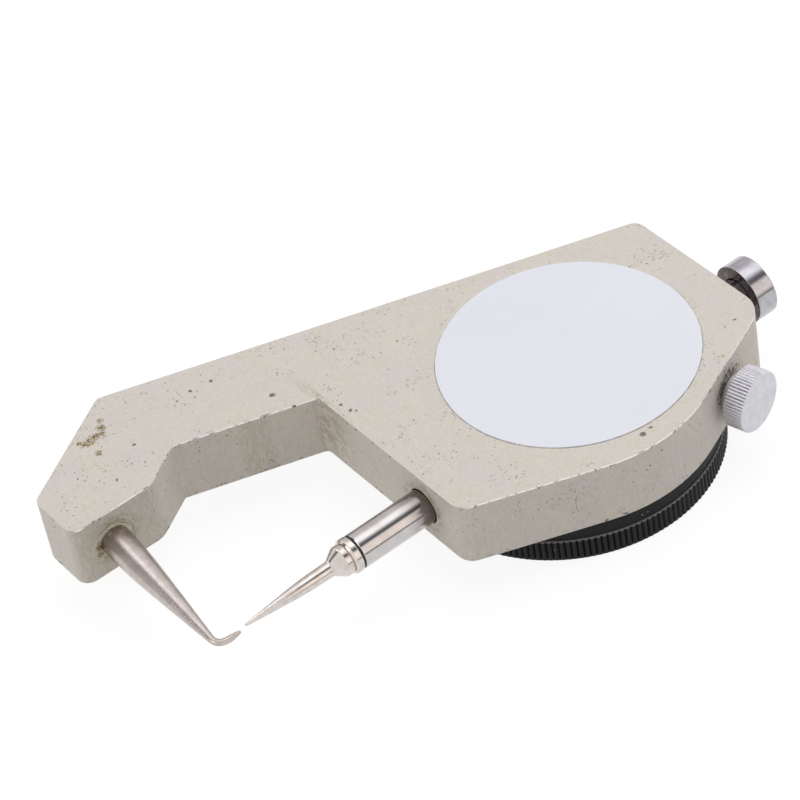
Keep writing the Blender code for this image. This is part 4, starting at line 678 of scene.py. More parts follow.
@dataclass(frozen=True)
class BlackMoulding(Finish):
    """Black moulded plastic with a fine grain, scuffs, a painted highlight along the bezel's ledge
    and a little dust.
    """

    base: Colour = (0.008, 0.008, 0.009)
    scuff: Colour = (0.026, 0.026, 0.028)
    worn: Colour = (0.260, 0.260, 0.262)
    dust: Colour = (0.62, 0.62, 0.62)
    gloss: float = 0.45
    edge_z: float = -3.95
    centre: Point = (0.0, DIAL_OFFSET, 0.0)
    edge_radius: float = 30.5

    def sockets(self, bench: Bench) -> dict[str, Operand]:
        """Grained black with dust in places."""
        where = bench.drawn()
        cloud = bench.noise(where, 0.35, 4.0)
        grain = bench.noise(where, 7.0, 2.0)
        scuffed = bench.noise(where, 1.3, 5.0, roughness=0.75).rise(0.56, 0.72)
        colour = bench.mix(scuffed * 0.6, self.base, self.scuff)
        # Painted highlight: a lighter ring along the ledge where the band meets the ribs.
        colour = bench.mix(self._edge_wear(bench, where) * 0.8, colour, self.worn)
        dust = bench.specks(where, 0.85, 0.09, 0.15)
        colour = bench.mix(dust, colour, self.dust)
        return {
            "Base Color": colour,
            "Roughness": self.gloss + cloud * 0.10 + dust * 0.3,
            "Normal": bench.bump(cloud * 0.3 + grain * 0.25, 0.03),
            "Specular IOR Level": 0.19,
        }

    def _edge_wear(self, bench: Bench, where: Flow) -> Flow:
        """Mask of the thin line where the bezel's band meets its ribs: a painted highlight along
        the ledge, with a little wear.
        """
        level = where.dot(Z_AXIS).near(self.edge_z, 0.08, 0.24)
        reach = (where * (1.0, 1.0, 0.0)).distance(self.centre)
        return level * reach.rise(self.edge_radius, self.edge_radius + 0.15)


@dataclass(frozen=True)
class Coating(Finish):
    """Even lacquer, enamel, ink or fibre, with a faint grain and cloud."""

    base: Colour = (0.88, 0.88, 0.86)
    shade: Colour = (0.80, 0.79, 0.75)
    gloss: float = 0.45
    scale: float = 0.4
    grain: float = 0.006

    def sockets(self, bench: Bench) -> dict[str, Operand]:
        """Cloudy colour with a fine grain."""
        where = bench.drawn()
        cloud = bench.noise(where, self.scale, 4.0)
        grain = bench.noise(where, 9.0, 2.0)
        return {
            "Base Color": bench.mix(cloud.rise(0.40, 0.72), self.base, self.shade),
            "Roughness": self.gloss + cloud * 0.12,
            "Normal": bench.bump(grain, self.grain),
        }


@dataclass(frozen=True)
class ClearSheet(Finish):
    """Clear acrylic with faint wiping marks."""

    base: Colour = (0.97, 0.98, 0.985)

    def sockets(self, bench: Bench) -> dict[str, Operand]:
        """Clear sheet whose gloss varies a little."""
        where = bench.drawn()
        marks = bench.noise(where * (1.0, 6.0, 1.0), 0.35, 4.0)
        return {
            "Base Color": bench.mix(marks.rise(0.5, 0.8) * 0.3, self.base, (0.93, 0.95, 0.96)),
            "Roughness": 0.02 + marks.rise(0.45, 0.9) * 0.06,
            "Transmission Weight": 1.0,
            "IOR": 1.49,
            "Normal": bench.bump(bench.noise(where, 0.2, 2.0), 0.01),
        }


@dataclass(frozen=True)
class Step:
    """Corner of a turned profile, with its rounding and its share of the ribs' depth."""

    radius: float
    along: float
    rounding: float = 0.0
    ribs: float = 0.0

    @classmethod
    def row(cls, corners: Sequence[Sequence[float]], start: float = 0.0) -> list["Step"]:
        """Steps of plain corners, whose lengths are counted from a start."""
        return [cls(radius, start + along, *more) for radius, along, *more in corners]


def rounded(steps: Sequence[Step], closed: bool, pieces: int = 4) -> list[Step]:
    """Round the corners of a profile.

    Args:
        steps: corners in order.
        closed: whether the profile runs back to its start.
        pieces: facets of each rounded corner.

    Returns:
        The profile with its arcs.
    """
    made: list[Step] = []
    count = len(steps)
    for index, step in enumerate(steps):
        inside = closed or 0 < index < count - 1
        if step.rounding <= 0.0 or not inside:
            made.append(step)
            continue
        corner = Vector((step.radius, step.along))
        ends = []
        for other in (steps[index - 1], steps[(index + 1) % count]):
            way = Vector((other.radius, other.along)) - corner
            ends.append(corner + way.normalized() * min(step.rounding, way.length * 0.45))
        for piece in range(pieces + 1):
            share = piece / pieces
            spot = ends[0].lerp(corner, share).lerp(corner.lerp(ends[1], share), share)
            made.append(Step(spot.x, spot.y, 0.0, step.ribs))
    return made


class Maker:
    """Builds meshes on the drawing and turns them into dressed pieces of the model."""

    def __init__(self, datum: Datum, frame: dict) -> None:
        """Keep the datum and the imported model."""
        self.datum = datum
        self.frame = frame

    @staticmethod
    def band(
        bm: bmesh.types.BMesh, near: Sequence[bmesh.types.BMVert],
        far: Sequence[bmesh.types.BMVert],
    ) -> None:
        """Join two rings of points with faces.

        Args:
            bm: mesh that takes the faces.
            near: points of a ring, or the one point of a tip.
            far: points of the next ring, or of a tip.
        """
        count = max(len(near), len(far))
        for index in range(count if count > 1 else 0):
            follow = (index + 1) % count
            if len(near) == 1:
                corners = (near[0], far[follow], far[index])
            elif len(far) == 1:
                corners = (near[index], near[follow], far[0])
            else:
                corners = (near[index], near[follow], far[follow], far[index])
            bm.faces.new(corners)

    @staticmethod
    def spokes(across: Vector, along: Vector, count: int) -> list[Vector]:
        """Evenly spread directions round an axis.

        Args:
            across: first direction.
            along: the axis.
            count: how many there are in a turn.

        Returns:
            The directions in order.
        """
        other = along.cross(across)
        angles = [FULL_TURN * index / count for index in range(count)]
        return [across * math.cos(angle) + other * math.sin(angle) for angle in angles]

    @classmethod
    def turned(
        cls, steps: Sequence[Step], sides: int, point: Sequence[float], axis: Sequence[float],
        closed: bool = False, pieces: int = 4, rib: Callable[[float], float] | None = None,
    ) -> bmesh.types.BMesh:
        """Spin a profile round an axis.

        Args:
            steps: corners of the profile.
            sides: facets of a turn.
            point: place on the axis where the profile's length is zero.
            axis: direction of the axis.
            closed: whether the profile is a ring's section.
            pieces: facets of each rounded corner.
            rib: depth of the grooves between the ribs at a share of a turn.

        Returns:
            The mesh, in drawn millimetres.
        """
        bm = bmesh.new()
        along = Vector(axis).normalized()
        across = Vector(Z_AXIS).cross(along)
        across = across.normalized() if across.length > 0.5 else Vector(X_AXIS)
        spokes = cls.spokes(across, along, sides)
        depths = [rib(index / sides) if rib else 0.0 for index in range(sides)]
        rings = []
        for step in rounded(steps, closed, pieces):
            middle = Vector(point) + along * step.along
            spots = [middle] if step.radius <= 0.0 else [
                middle + out * (step.radius - step.ribs * depth)
                for out, depth in zip(spokes, depths)]
            rings.append([bm.verts.new(spot) for spot in spots])
        for near, far in zip(rings, rings[1:] + (rings[:1] if closed else [])):
            cls.band(bm, near, far)
        return bm

    @classmethod
    def swept(
        cls, points: Sequence[Vector], radii: Sequence[float], sides: int,
    ) -> bmesh.types.BMesh:
        """Round bar along a path.

        Args:
            points: middle of the bar.
            radii: its radius at each point.
            sides: facets of a turn.

        Returns:
            The mesh, with flat ends.
        """
        bm = bmesh.new()
        rings = []
        across = None
        for index, point in enumerate(points):
            before = points[max(index - 1, 0)]
            after = points[min(index + 1, len(points) - 1)]
            along = (after - before).normalized()
            across = along.orthogonal().normalized() if across is None else across
            across = (across - along * across.dot(along)).normalized()
            spokes = cls.spokes(across, along, sides)
            rings.append([bm.verts.new(point + out * radii[index]) for out in spokes])
        for near, far in zip(rings, rings[1:]):
            cls.band(bm, near, far)
        bm.faces.new(rings[0][::-1])
        bm.faces.new(rings[-1])
        return bm

    @classmethod
    def add_prism(
        cls, bm: bmesh.types.BMesh, outline: Sequence[Sequence[float]], low: float, high: float,
    ) -> None:
        """Add a solid with a flat outline in the drawing's plane to a mesh.

        Args:
            bm: mesh that takes it.
            outline: its corners in order.
            low: height of its lower side.
            high: height of its upper side.
        """
        lower, upper = ([bm.verts.new((x, y, level)) for x, y in outline] for level in (low, high))
        bm.faces.new(lower[::-1])
        bm.faces.new(upper)
        cls.band(bm, lower, upper)

    @staticmethod
    def cut(whole: bmesh.types.BMesh, tool: bmesh.types.BMesh) -> bmesh.types.BMesh:
        """Take one solid away from another.

        Args:
            whole: solid that is cut, which is used up.
            tool: solid that is taken away, which is used up.

        Returns:
            What is left.
        """
        blanks = []
        for bm in (whole, tool):
            bmesh.ops.recalc_face_normals(bm, faces=bm.faces)
            mesh = bpy.data.meshes.new("blank")
            bm.to_mesh(mesh)
            bm.free()
            blanks.append(bpy.data.objects.new("blank", mesh))
            bpy.context.scene.collection.objects.link(blanks[-1])
        cutting = blanks[0].modifiers.new("cut", "BOOLEAN")
        cutting.operation = "DIFFERENCE"
        cutting.solver = "EXACT"
        cutting.object = blanks[1]
        graph = bpy.context.evaluated_depsgraph_get()
        result = bpy.data.meshes.new_from_object(blanks[0].evaluated_get(graph))
        left = bmesh.new()
        left.from_mesh(result)
        bpy.data.meshes.remove(result)
        for blank in blanks:
            bpy.data.meshes.remove(blank.data)
        return left

    def piece(
        self, name: str, bm: bmesh.types.BMesh, finish: Finish, body: Body, slot: Slot,
        replaces: Sequence[str] = (), sharp: float = 40.0,
    ) -> bpy.types.Object:
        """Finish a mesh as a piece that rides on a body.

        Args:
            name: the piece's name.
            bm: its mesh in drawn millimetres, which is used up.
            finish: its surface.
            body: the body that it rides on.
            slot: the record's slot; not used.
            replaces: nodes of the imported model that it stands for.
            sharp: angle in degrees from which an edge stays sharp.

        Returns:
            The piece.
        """
        for vert in bm.verts:
            vert.co = self.datum.place(vert.co)
        bmesh.ops.recalc_face_normals(bm, faces=bm.faces)
        mesh = bpy.data.meshes.new(name)
        bm.to_mesh(mesh)
        bm.free()
        mesh.shade_smooth()
        mesh.set_sharp_from_angle(angle=math.radians(sharp))
        mesh.materials.append(finish.material(self.datum))
        made = bpy.data.objects.new(name, mesh)
        bpy.context.scene.collection.objects.link(made)
        self.weigh(made)
        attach(made, body.value)
        if replaces:
            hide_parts(*replaces)
        LOG.info("%s: %d faces on %s", name, len(mesh.polygons), body.value)
        return made

    @staticmethod
    def weigh(piece: bpy.types.Object) -> None:
        """Let the large faces set the shading, so that flats stay flat."""
        normals = piece.modifiers.new("flat_faces", "WEIGHTED_NORMAL")
        normals.keep_sharp = True
        normals.weight = 80

    def keep(self, name: str, finish: Finish, sharp: float = 32.0) -> bpy.types.Object:
        """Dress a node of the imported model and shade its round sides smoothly.

        Args:
            name: the node.
            finish: its surface.
            sharp: angle in degrees from which an edge stays sharp.

        Returns:
            The node's object.
        """
        node = self.frame["nodes"][name]
        shading = node.data.attributes.get("custom_normal")
        if shading is not None:
            node.data.attributes.remove(shading)
        node.data.shade_smooth()
        weld = node.modifiers.new("joined_corners", "WELD")
        weld.merge_threshold = MM * MM
        split = node.modifiers.new("sharp_edges", "EDGE_SPLIT")
        split.split_angle = math.radians(sharp)
        self.weigh(node)
        node.material_slots[0].material = finish.material(self.datum)
        LOG.info("%s: packed node, %s", name, finish.name)
        return node


@dataclass
class Casting:
    """Painted casting with the unprinted label on its back."""

    maker: Maker
    label_x: float = 2.6
    label_y: float = 5.5
    label_section: tuple[tuple[float, ...], ...] = (
        (0.0, 14.01), (25.0, 14.01), (25.0, 14.20, 0.07), (0.0, 14.20),
    )
    label_sides: int = 180

    def build(self) -> None:
        """Dress the casting and make the label."""
        self.maker.keep("frame", CreamPaint("paint_cream"), sharp=50.0)
        mesh = self.maker.turned(
            Step.row(self.label_section), self.label_sides, (self.label_x, self.label_y, 0.0),
            Z_AXIS)
        self.maker.piece(
            "label", mesh, LabelFilm("film_white"), Body.FRAME, Slot.LABEL, ("back_label",))


@dataclass
class HookedAnvil:
    """Tapered needle with its tip hooked towards the spindle, set in the nose."""

    maker: Maker
    root: Point = (-82.95, 35.0, 6.95)
    hook: Point = (-84.91, -0.42, 6.73)
    tip: Point = (-79.90, -0.32, 6.74)
    spigot: tuple[tuple[float, float], ...] = ((8.0, 2.60), (0.20, 2.60), (0.15, 3.05))
    taper: tuple[tuple[float, float], ...] = (
        (34.8, 3.05), (31.3, 3.00), (27.8, 2.87), (24.3, 2.66), (19.3, 2.25), (13.6, 1.74),
        (8.8, 1.30), (4.2, 0.88), (2.7, 0.74),
    )
    bend: float = 2.9
    bend_radius: float = 0.66
    bend_ease: float = 0.25
    point_taper: tuple[tuple[float, float], ...] = (
        (0.25, 0.56), (0.55, 0.46), (0.82, 0.37), (0.91, 0.31), (0.97, 0.2666), (1.0, 0.1705),
    )
    sides: int = 64
    bend_steps: int = 16
    taper_steps: int = 4
    bead_reach: float = 3.12
    bead_size: float = 0.32
    bead_swing: float = 0.1125
    bead_least: float = 0.13
    bead_shape: tuple[float, float] = (1.5, 0.9)
    bead_top: float = 0.12
    bead_waves: tuple[int, ...] = (1, 2, 3, 5, 8, 13)
    bead_sides: int = 96
    bead_section: int = 10

    def build(self) -> None:
        """Make the needle and the paint that has run up round its root."""
        root, hook, tip = (Vector(point) for point in (self.root, self.hook, self.tip))
        up = (root - hook).normalized()
        bar = [(root + up * height, radius) for height, radius in self.spigot]
        bar += [(hook + up * (height / up.y), radius) for height, radius in self._fine_taper()]
        start, tail = bar[-1][0], hook + (tip - hook).normalized() * self.bend
        for index in range(1, self.bend_steps + 1):
            share = index / self.bend_steps
            radius = bar[-1][1] + (self.bend_radius - bar[-1][1]) * self.bend_ease
            bar.append((start.lerp(hook, share).lerp(hook.lerp(tail, share), share), radius))
        bar += [(tail.lerp(tip, share), radius) for share, radius in self.point_taper]
        # Darker and browner over the last 8 mm towards the root.
        finish = Metal(
            "anvil_steel", base=(0.575, 0.520, 0.495), shade=(0.485, 0.425, 0.400),
            stain=(0.16, 0.10, 0.08), gloss=0.22, gloss_spread=0.14, axis_point=self.root,
            axis=tuple(up), line_scale=5.5, line_height=0.024, line_share=0.85, stain_share=0.25,
            scale=0.55, dull=(0.290, 0.240, 0.205), dull_span=(-8.0, 0.0))
        self.maker.piece(
            "needle_anvil", self.maker.swept(*zip(*bar), self.sides), finish, Body.FRAME,
            Slot.TURNED, ("anvil",), sharp=60.0)
        self._root_paint(root, up)

    def _fine_taper(self) -> list[tuple[float, float]]:
        """Heights and radii of the taper, from the root down, with points between."""
        made = []
        for (high, wide), (low, narrow) in zip(self.taper, self.taper[1:]):
            for index in range(self.taper_steps):
                share = index / self.taper_steps
                made.append((high + (low - high) * share, wide + (narrow - wide) * share))
        return made + [self.taper[-1]]

    def _root_paint(self, root: Vector, up: Vector) -> None:
        """Ragged bead of paint where the needle leaves the nose.

        Args:
            root: where the needle's axis meets the nose.
            up: direction of the needle into the nose.
        """
        draw = random.Random(5)
        waves = [
            (number, draw.uniform(0.0, FULL_TURN), draw.uniform(0.3, 1.0) / number ** 0.5)
            for number in self.bead_waves]
        bm = bmesh.new()
        across = Vector(Z_AXIS).cross(up).normalized()
        rings = []
        for side, out in enumerate(self.maker.spokes(across, up, self.bead_sides)):
            angle = FULL_TURN * side / self.bead_sides
            swell = sum(size * math.sin(number * angle + phase) for number, phase, size in waves)
            bead = max(self.bead_least, self.bead_size + self.bead_swing * swell)
            ring = []
            for corner in range(self.bead_section):
                turn = FULL_TURN * corner / self.bead_section
                spot = root + out * (self.bead_reach + bead * self.bead_shape[0] * math.cos(turn))
                spot -= up * (bead * self.bead_shape[1] * math.sin(turn))
                spot.y = min(spot.y, root.y + self.bead_top)
                ring.append(bm.verts.new(spot))
            rings.append(ring)
        for near, far in zip(rings, rings[1:] + rings[:1]):
            self.maker.band(bm, near, far)
        finish = CreamPaint(
            "paint_bead", base=(0.800, 0.765, 0.690), pink=(0.520, 0.480, 0.390),
            green=(0.380, 0.330, 0.230))
        self.maker.piece("root_paint", bm, finish, Body.FRAME, Slot.PAINT, sharp=80.0)


@dataclass
class SpindleGroup:
    """Sliding rod with its washer, needle contact, lifting cap and spring."""

    maker: Maker
    axis_height: float = 7.0
    foot_x: float = -53.6
    top_x: float = 41.8
    rod_radius: float = 3.5
    rod_chamfer: float = 0.1
    rod_sides: int = 128
    stud_radius: float = 1.25
    stud_depth: float = 6.4
    spring_radius: float = 2.3
    spring_x: float = 7.8
    pinion_x: float = -10.4994
    rack_ends: tuple[float, float] = (-23.013, -5.286)
    rack_tip: float = 2.614
    rack_root: float = 1.585
    tooth_pitch: float = 1.66668
    tooth_tip: float = 0.1833
    tooth_root: float = 0.4167
    slot_ends: tuple[float, float] = (15.2, 25.5)
    slot_half: float = 1.4
    collar_x: float = -54.1
    contact_steps: tuple[tuple[float, ...], ...] = (
        (0.0, -24.4), (0.28, -24.4, 0.24), (1.395, -12.3, 2.2), (1.5, -8.6, 1.2),
        (1.545, -5.3, 0.30), (1.95, -4.75, 0.40), (3.05, -3.05, 0.20), (3.05, -1.86, 0.06),
        (2.79, -1.80, 0.03), (2.79, -1.66, 0.03), (3.24, -1.64, 0.04), (3.58, -1.22, 0.08),
        (3.58, -0.10, 0.08), (3.42, 0.08, 0.03), (1.1, 0.08), (1.1, 5.2), (0.0, 5.2),
    )
    contact_sides: int = 96
    cap_x: float = 39.6
    cap_steps: tuple[tuple[float, ...], ...] = (
        (0.0, -1.7), (2.0, -1.7), (2.0, 2.3), (3.65, 2.3), (3.65, 0.0, 0.10), (6.15, 0.0, 0.18),
        (6.15, 4.5, 0.30), (0.0, 4.5),
    )
    cap_sides: int = 120
    spring_ends: tuple[float, float] = (7.8, 22.9)
    spring_coil: float = 1.75
    spring_turns: int = 8
    spring_steps: int = 24
    closed_turns: float = 0.75
    closed_pitch: float = 0.55
    wire_radius: float = 0.22
    wire_sides: int = 10
    seat_gap: float = 0.1
    travel: float = 8.55

    @property
    def axis_point(self) -> Point:
        """Zero of the spindle's axis."""
        return (0.0, 0.0, self.axis_height)

    def build(self) -> None:
        """Make the rod, the contact, the cap and the spring; dress the washer."""
        self._rod()
        self._contact()
        self._cap()
        self._spring()
        self.maker.keep("contact_washer", Coating(
            "washer_black", base=(0.008, 0.008, 0.008), shade=(0.018, 0.017, 0.016), gloss=0.5))

    def _rod(self) -> None:
        """Chromed rod, bored at both ends, with its rack and the guide pin's slot."""
        foot, top, wide, edge = self.foot_x, self.top_x, self.rod_radius, self.rod_chamfer
        mesh = self.maker.turned([
            Step(0.0, foot + self.stud_depth),
            Step(self.stud_radius, foot + self.stud_depth),
            Step(self.stud_radius, foot),
            Step(wide - edge, foot),
            Step(wide, foot + edge),
            Step(wide, self.rack_ends[0] - edge),
            Step(wide, self.slot_ends[1] + 2 * self.slot_half),
            Step(wide, top - edge),
            Step(wide - edge, top),
            Step(self.spring_radius, top),
            Step(self.spring_radius, self.spring_x),
            Step(0.0, self.spring_x),
        ], self.rod_sides, self.axis_point, X_AXIS)
        clear = 1.2 * wide
        for outline in (self._rack_outline(clear), self._slot_outline()):
            tool = bmesh.new()
            self.maker.add_prism(tool, outline, self.axis_height - clear, self.axis_height + clear)
            mesh = self.maker.cut(mesh, tool)
        # The rod is painted darker from near the bore onwards: painted shade where the casting and
        # the cap shadow it.
        finish = Metal(
            "rod_chrome", base=(0.585, 0.560, 0.555), shade=(0.520, 0.495, 0.490), gloss=0.10,
            gloss_spread=0.07, axis_point=self.axis_point, line_scale=5.0, line_height=0.0012,
            stain_share=0.05, scale=0.3, dull=(0.215, 0.190, 0.180), dull_span=(-44.5, -38.0))
        self.maker.piece("rod", mesh, finish, Body.SPINDLE, Slot.CHROME, ("spindle",), sharp=30.0)

    def _rack_outline(self, above: float) -> list[tuple[float, float]]:
        """Outline of what is milled away between the rack's teeth.

        Args:
            above: height over the rod, clear of its surface.

        Returns:
            Corners in the drawing's plane.
        """
        start, end = self.rack_ends
        outline = [(end, above), (start, above), (start, self.rack_root)]
        tooth_corners = (
            (-self.tooth_root, self.rack_root), (-self.tooth_tip, self.rack_tip),
            (self.tooth_tip, self.rack_tip), (self.tooth_root, self.rack_root))
        first = math.ceil((start - self.pinion_x + self.tooth_root) / self.tooth_pitch)
        last = math.floor((end - self.pinion_x - self.tooth_root) / self.tooth_pitch)
        for tooth in range(first, last + 1):
            middle = self.pinion_x + self.tooth_pitch * tooth
            outline += [(middle + side, reach) for side, reach in tooth_corners]
        return outline + [(end, self.rack_root)]

    def _slot_outline(self, facets: int = 12) -> list[tuple[float, float]]:
        """Outline of the guide pin's slot, round at both ends."""
        outline = []
        for middle, turn in ((self.slot_ends[1], -QUARTER), (self.slot_ends[0], QUARTER)):
            for index in range(facets + 1):
                angle = turn + math.pi * index / facets
                outline.append((middle + self.slot_half * math.cos(angle),
                                self.slot_half * math.sin(angle)))
        return outline

    def _contact(self) -> None:
        """Collar, boss, cone and needle turned from one bar."""
        mesh = self.maker.turned(
            Step.row(self.contact_steps, self.collar_x), self.contact_sides, self.axis_point,
            X_AXIS)
        finish = Metal(
            "contact_nickel", base=(0.690, 0.640, 0.610), shade=(0.585, 0.530, 0.490),
            stain=(0.24, 0.16, 0.10), gloss=0.12, gloss_spread=0.09, axis_point=self.axis_point,
            line_scale=7.0, line_height=0.0018, stain_share=0.12, scale=0.7)
        self.maker.piece(
            "needle_contact", mesh, finish, Body.SPINDLE, Slot.TURNED, ("contact_point",),
            sharp=50.0)

    def _cap(self) -> None:
        """Cap with a counterbored underside and fine turning lines."""
        mesh = self.maker.turned(
            Step.row(self.cap_steps, self.cap_x), self.cap_sides, self.axis_point, X_AXIS)
        # The cap's underside is painted darker: painted shade under the cap.
        finish = Metal(
            "cap_steel", base=(0.485, 0.480, 0.515), shade=(0.405, 0.395, 0.422),
            stain=(0.07, 0.05, 0.05), gloss=0.13, gloss_spread=0.10, axis_point=self.axis_point,
            line_scale=6.0, line_height=0.003, stain_share=0.12, scale=0.5,
            dull=(0.225, 0.215, 0.220), dull_span=(self.cap_x + 0.10, self.cap_x + 0.05))
        self.maker.piece("cap", mesh, finish, Body.SPINDLE, Slot.NICKEL, ("lift_cap",), sharp=50.0)

    def _spring(self) -> None:
        """Spring in the rod's bore, wound with closed turns at both ends."""
        seat = self.wire_radius + self.seat_gap
        start, end = self.spring_ends[0] + seat, self.spring_ends[1] - seat
        open_turns = self.spring_turns - 2 * self.closed_turns
        open_rise = (end - start - 2 * self.closed_turns * self.closed_pitch) / open_turns
        steps, points = self.spring_turns * self.spring_steps, []
        for step in range(steps + 1):
            turns = self.spring_turns * step / steps
            opened = min(max(turns - self.closed_turns, 0.0), open_turns)
            along = start + open_rise * opened + self.closed_pitch * (turns - opened)
            angle = FULL_TURN * turns
            points.append(Vector(self.axis_point) + Vector(
                (along, self.spring_coil * math.cos(angle), self.spring_coil * math.sin(angle))))
        mesh = self.maker.swept(points, [self.wire_radius] * len(points), self.wire_sides)
        made = self.maker.piece(
            "spring", mesh, Metal("spring_bright", scale=0.8), Body.SPINDLE, Slot.SPRING,
            ("return_spring",), sharp=80.0)
        anchor = self.maker.datum.place((self.spring_ends[0], 0.0, self.axis_height))
        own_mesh(made)


@dataclass
class LockScrew:
    """Thumbscrew with a straight knurl, and the brass pad in front of it."""

    maker: Maker
    root: Point = (16.05, 0.0, 7.0)
    slope: float = math.radians(-74.9)
    pad_end: float = 6.2
    wall: float = 19.54
    neck: float = 1.4
    knob: float = 4.4
    knob_radius: float = 6.05
    neck_radius: float = 4.1
    shank_radius: float = 1.9
    edge: float = 0.24
    ribs: int = 58
    rib_depth: float = 0.34
    rib_facets: int = 8

    def build(self) -> None:
        """Make the screw and dress the pad."""
        axis = (math.cos(self.slope), math.sin(self.slope), 0.0)
        back, face = self.wall + self.neck, self.wall + self.neck + self.knob
        wide, edge, depth = self.knob_radius, self.edge, self.rib_depth
        steps = [
            Step(0.0, self.pad_end + 1.0),
            Step(self.shank_radius, self.pad_end + 1.0, 0.2),
            Step(self.shank_radius, self.wall),
            Step(self.neck_radius, self.wall, 0.15),
            Step(self.neck_radius, back - 0.25, 0.05),
            Step(self.neck_radius - 0.45, back - 0.20, 0.03),
            Step(self.neck_radius - 0.45, back, 0.03),
            Step(wide - edge * 1.1, back, 0.05),
            Step(wide - 0.02, back + edge, 0.06, 0.75),
            Step(wide, back + edge * 1.6, 0.0, 1.0),
            Step(wide, face - edge * 1.5, 0.0, 1.0),
            Step(wide - 0.02, face - edge * 0.95, 0.06, 0.75),
            Step(wide - edge * 0.9, face, 0.10),
            Step(wide - edge * 2.4, face),
            Step(0.0, face),
        ]
        draw = random.Random(11)
        uneven = [draw.uniform(0.82, 1.0) for _ in range(self.ribs)]

        def groove(share: float) -> float:
            """Depth of a narrow groove between two ribs, a little uneven."""
            place = share * self.ribs
            wave = 0.5 - 0.5 * math.cos(FULL_TURN * place)
            return depth * wave ** GROOVE_POWER * uneven[int(place + 0.001) % self.ribs]

        mesh = self.maker.turned(
            steps, self.ribs * self.rib_facets, self.root, axis, rib=groove)
        finish = Metal(
            "screw_nickel", base=(0.650, 0.640, 0.685), shade=(0.585, 0.572, 0.612),
            stain=(0.12, 0.10, 0.09), gloss=0.28, gloss_spread=0.18, axis_point=self.root,
            axis=axis, line_scale=4.5, line_height=0.020, stain_share=0.06, scale=0.6,
            dirt=(0.180, 0.170, 0.172),
            grooves=(wide - depth * 1.15, wide - depth * 0.60, back + edge, face - edge))
        self.maker.piece(
            "thumbscrew", mesh, finish, Body.LOCK, Slot.NICKEL, ("lock_screw",), sharp=48.0)
        self.maker.keep(
            "lock_pad", Metal("brass_pad", base=(0.72, 0.54, 0.27), shade=(0.52, 0.36, 0.16)))


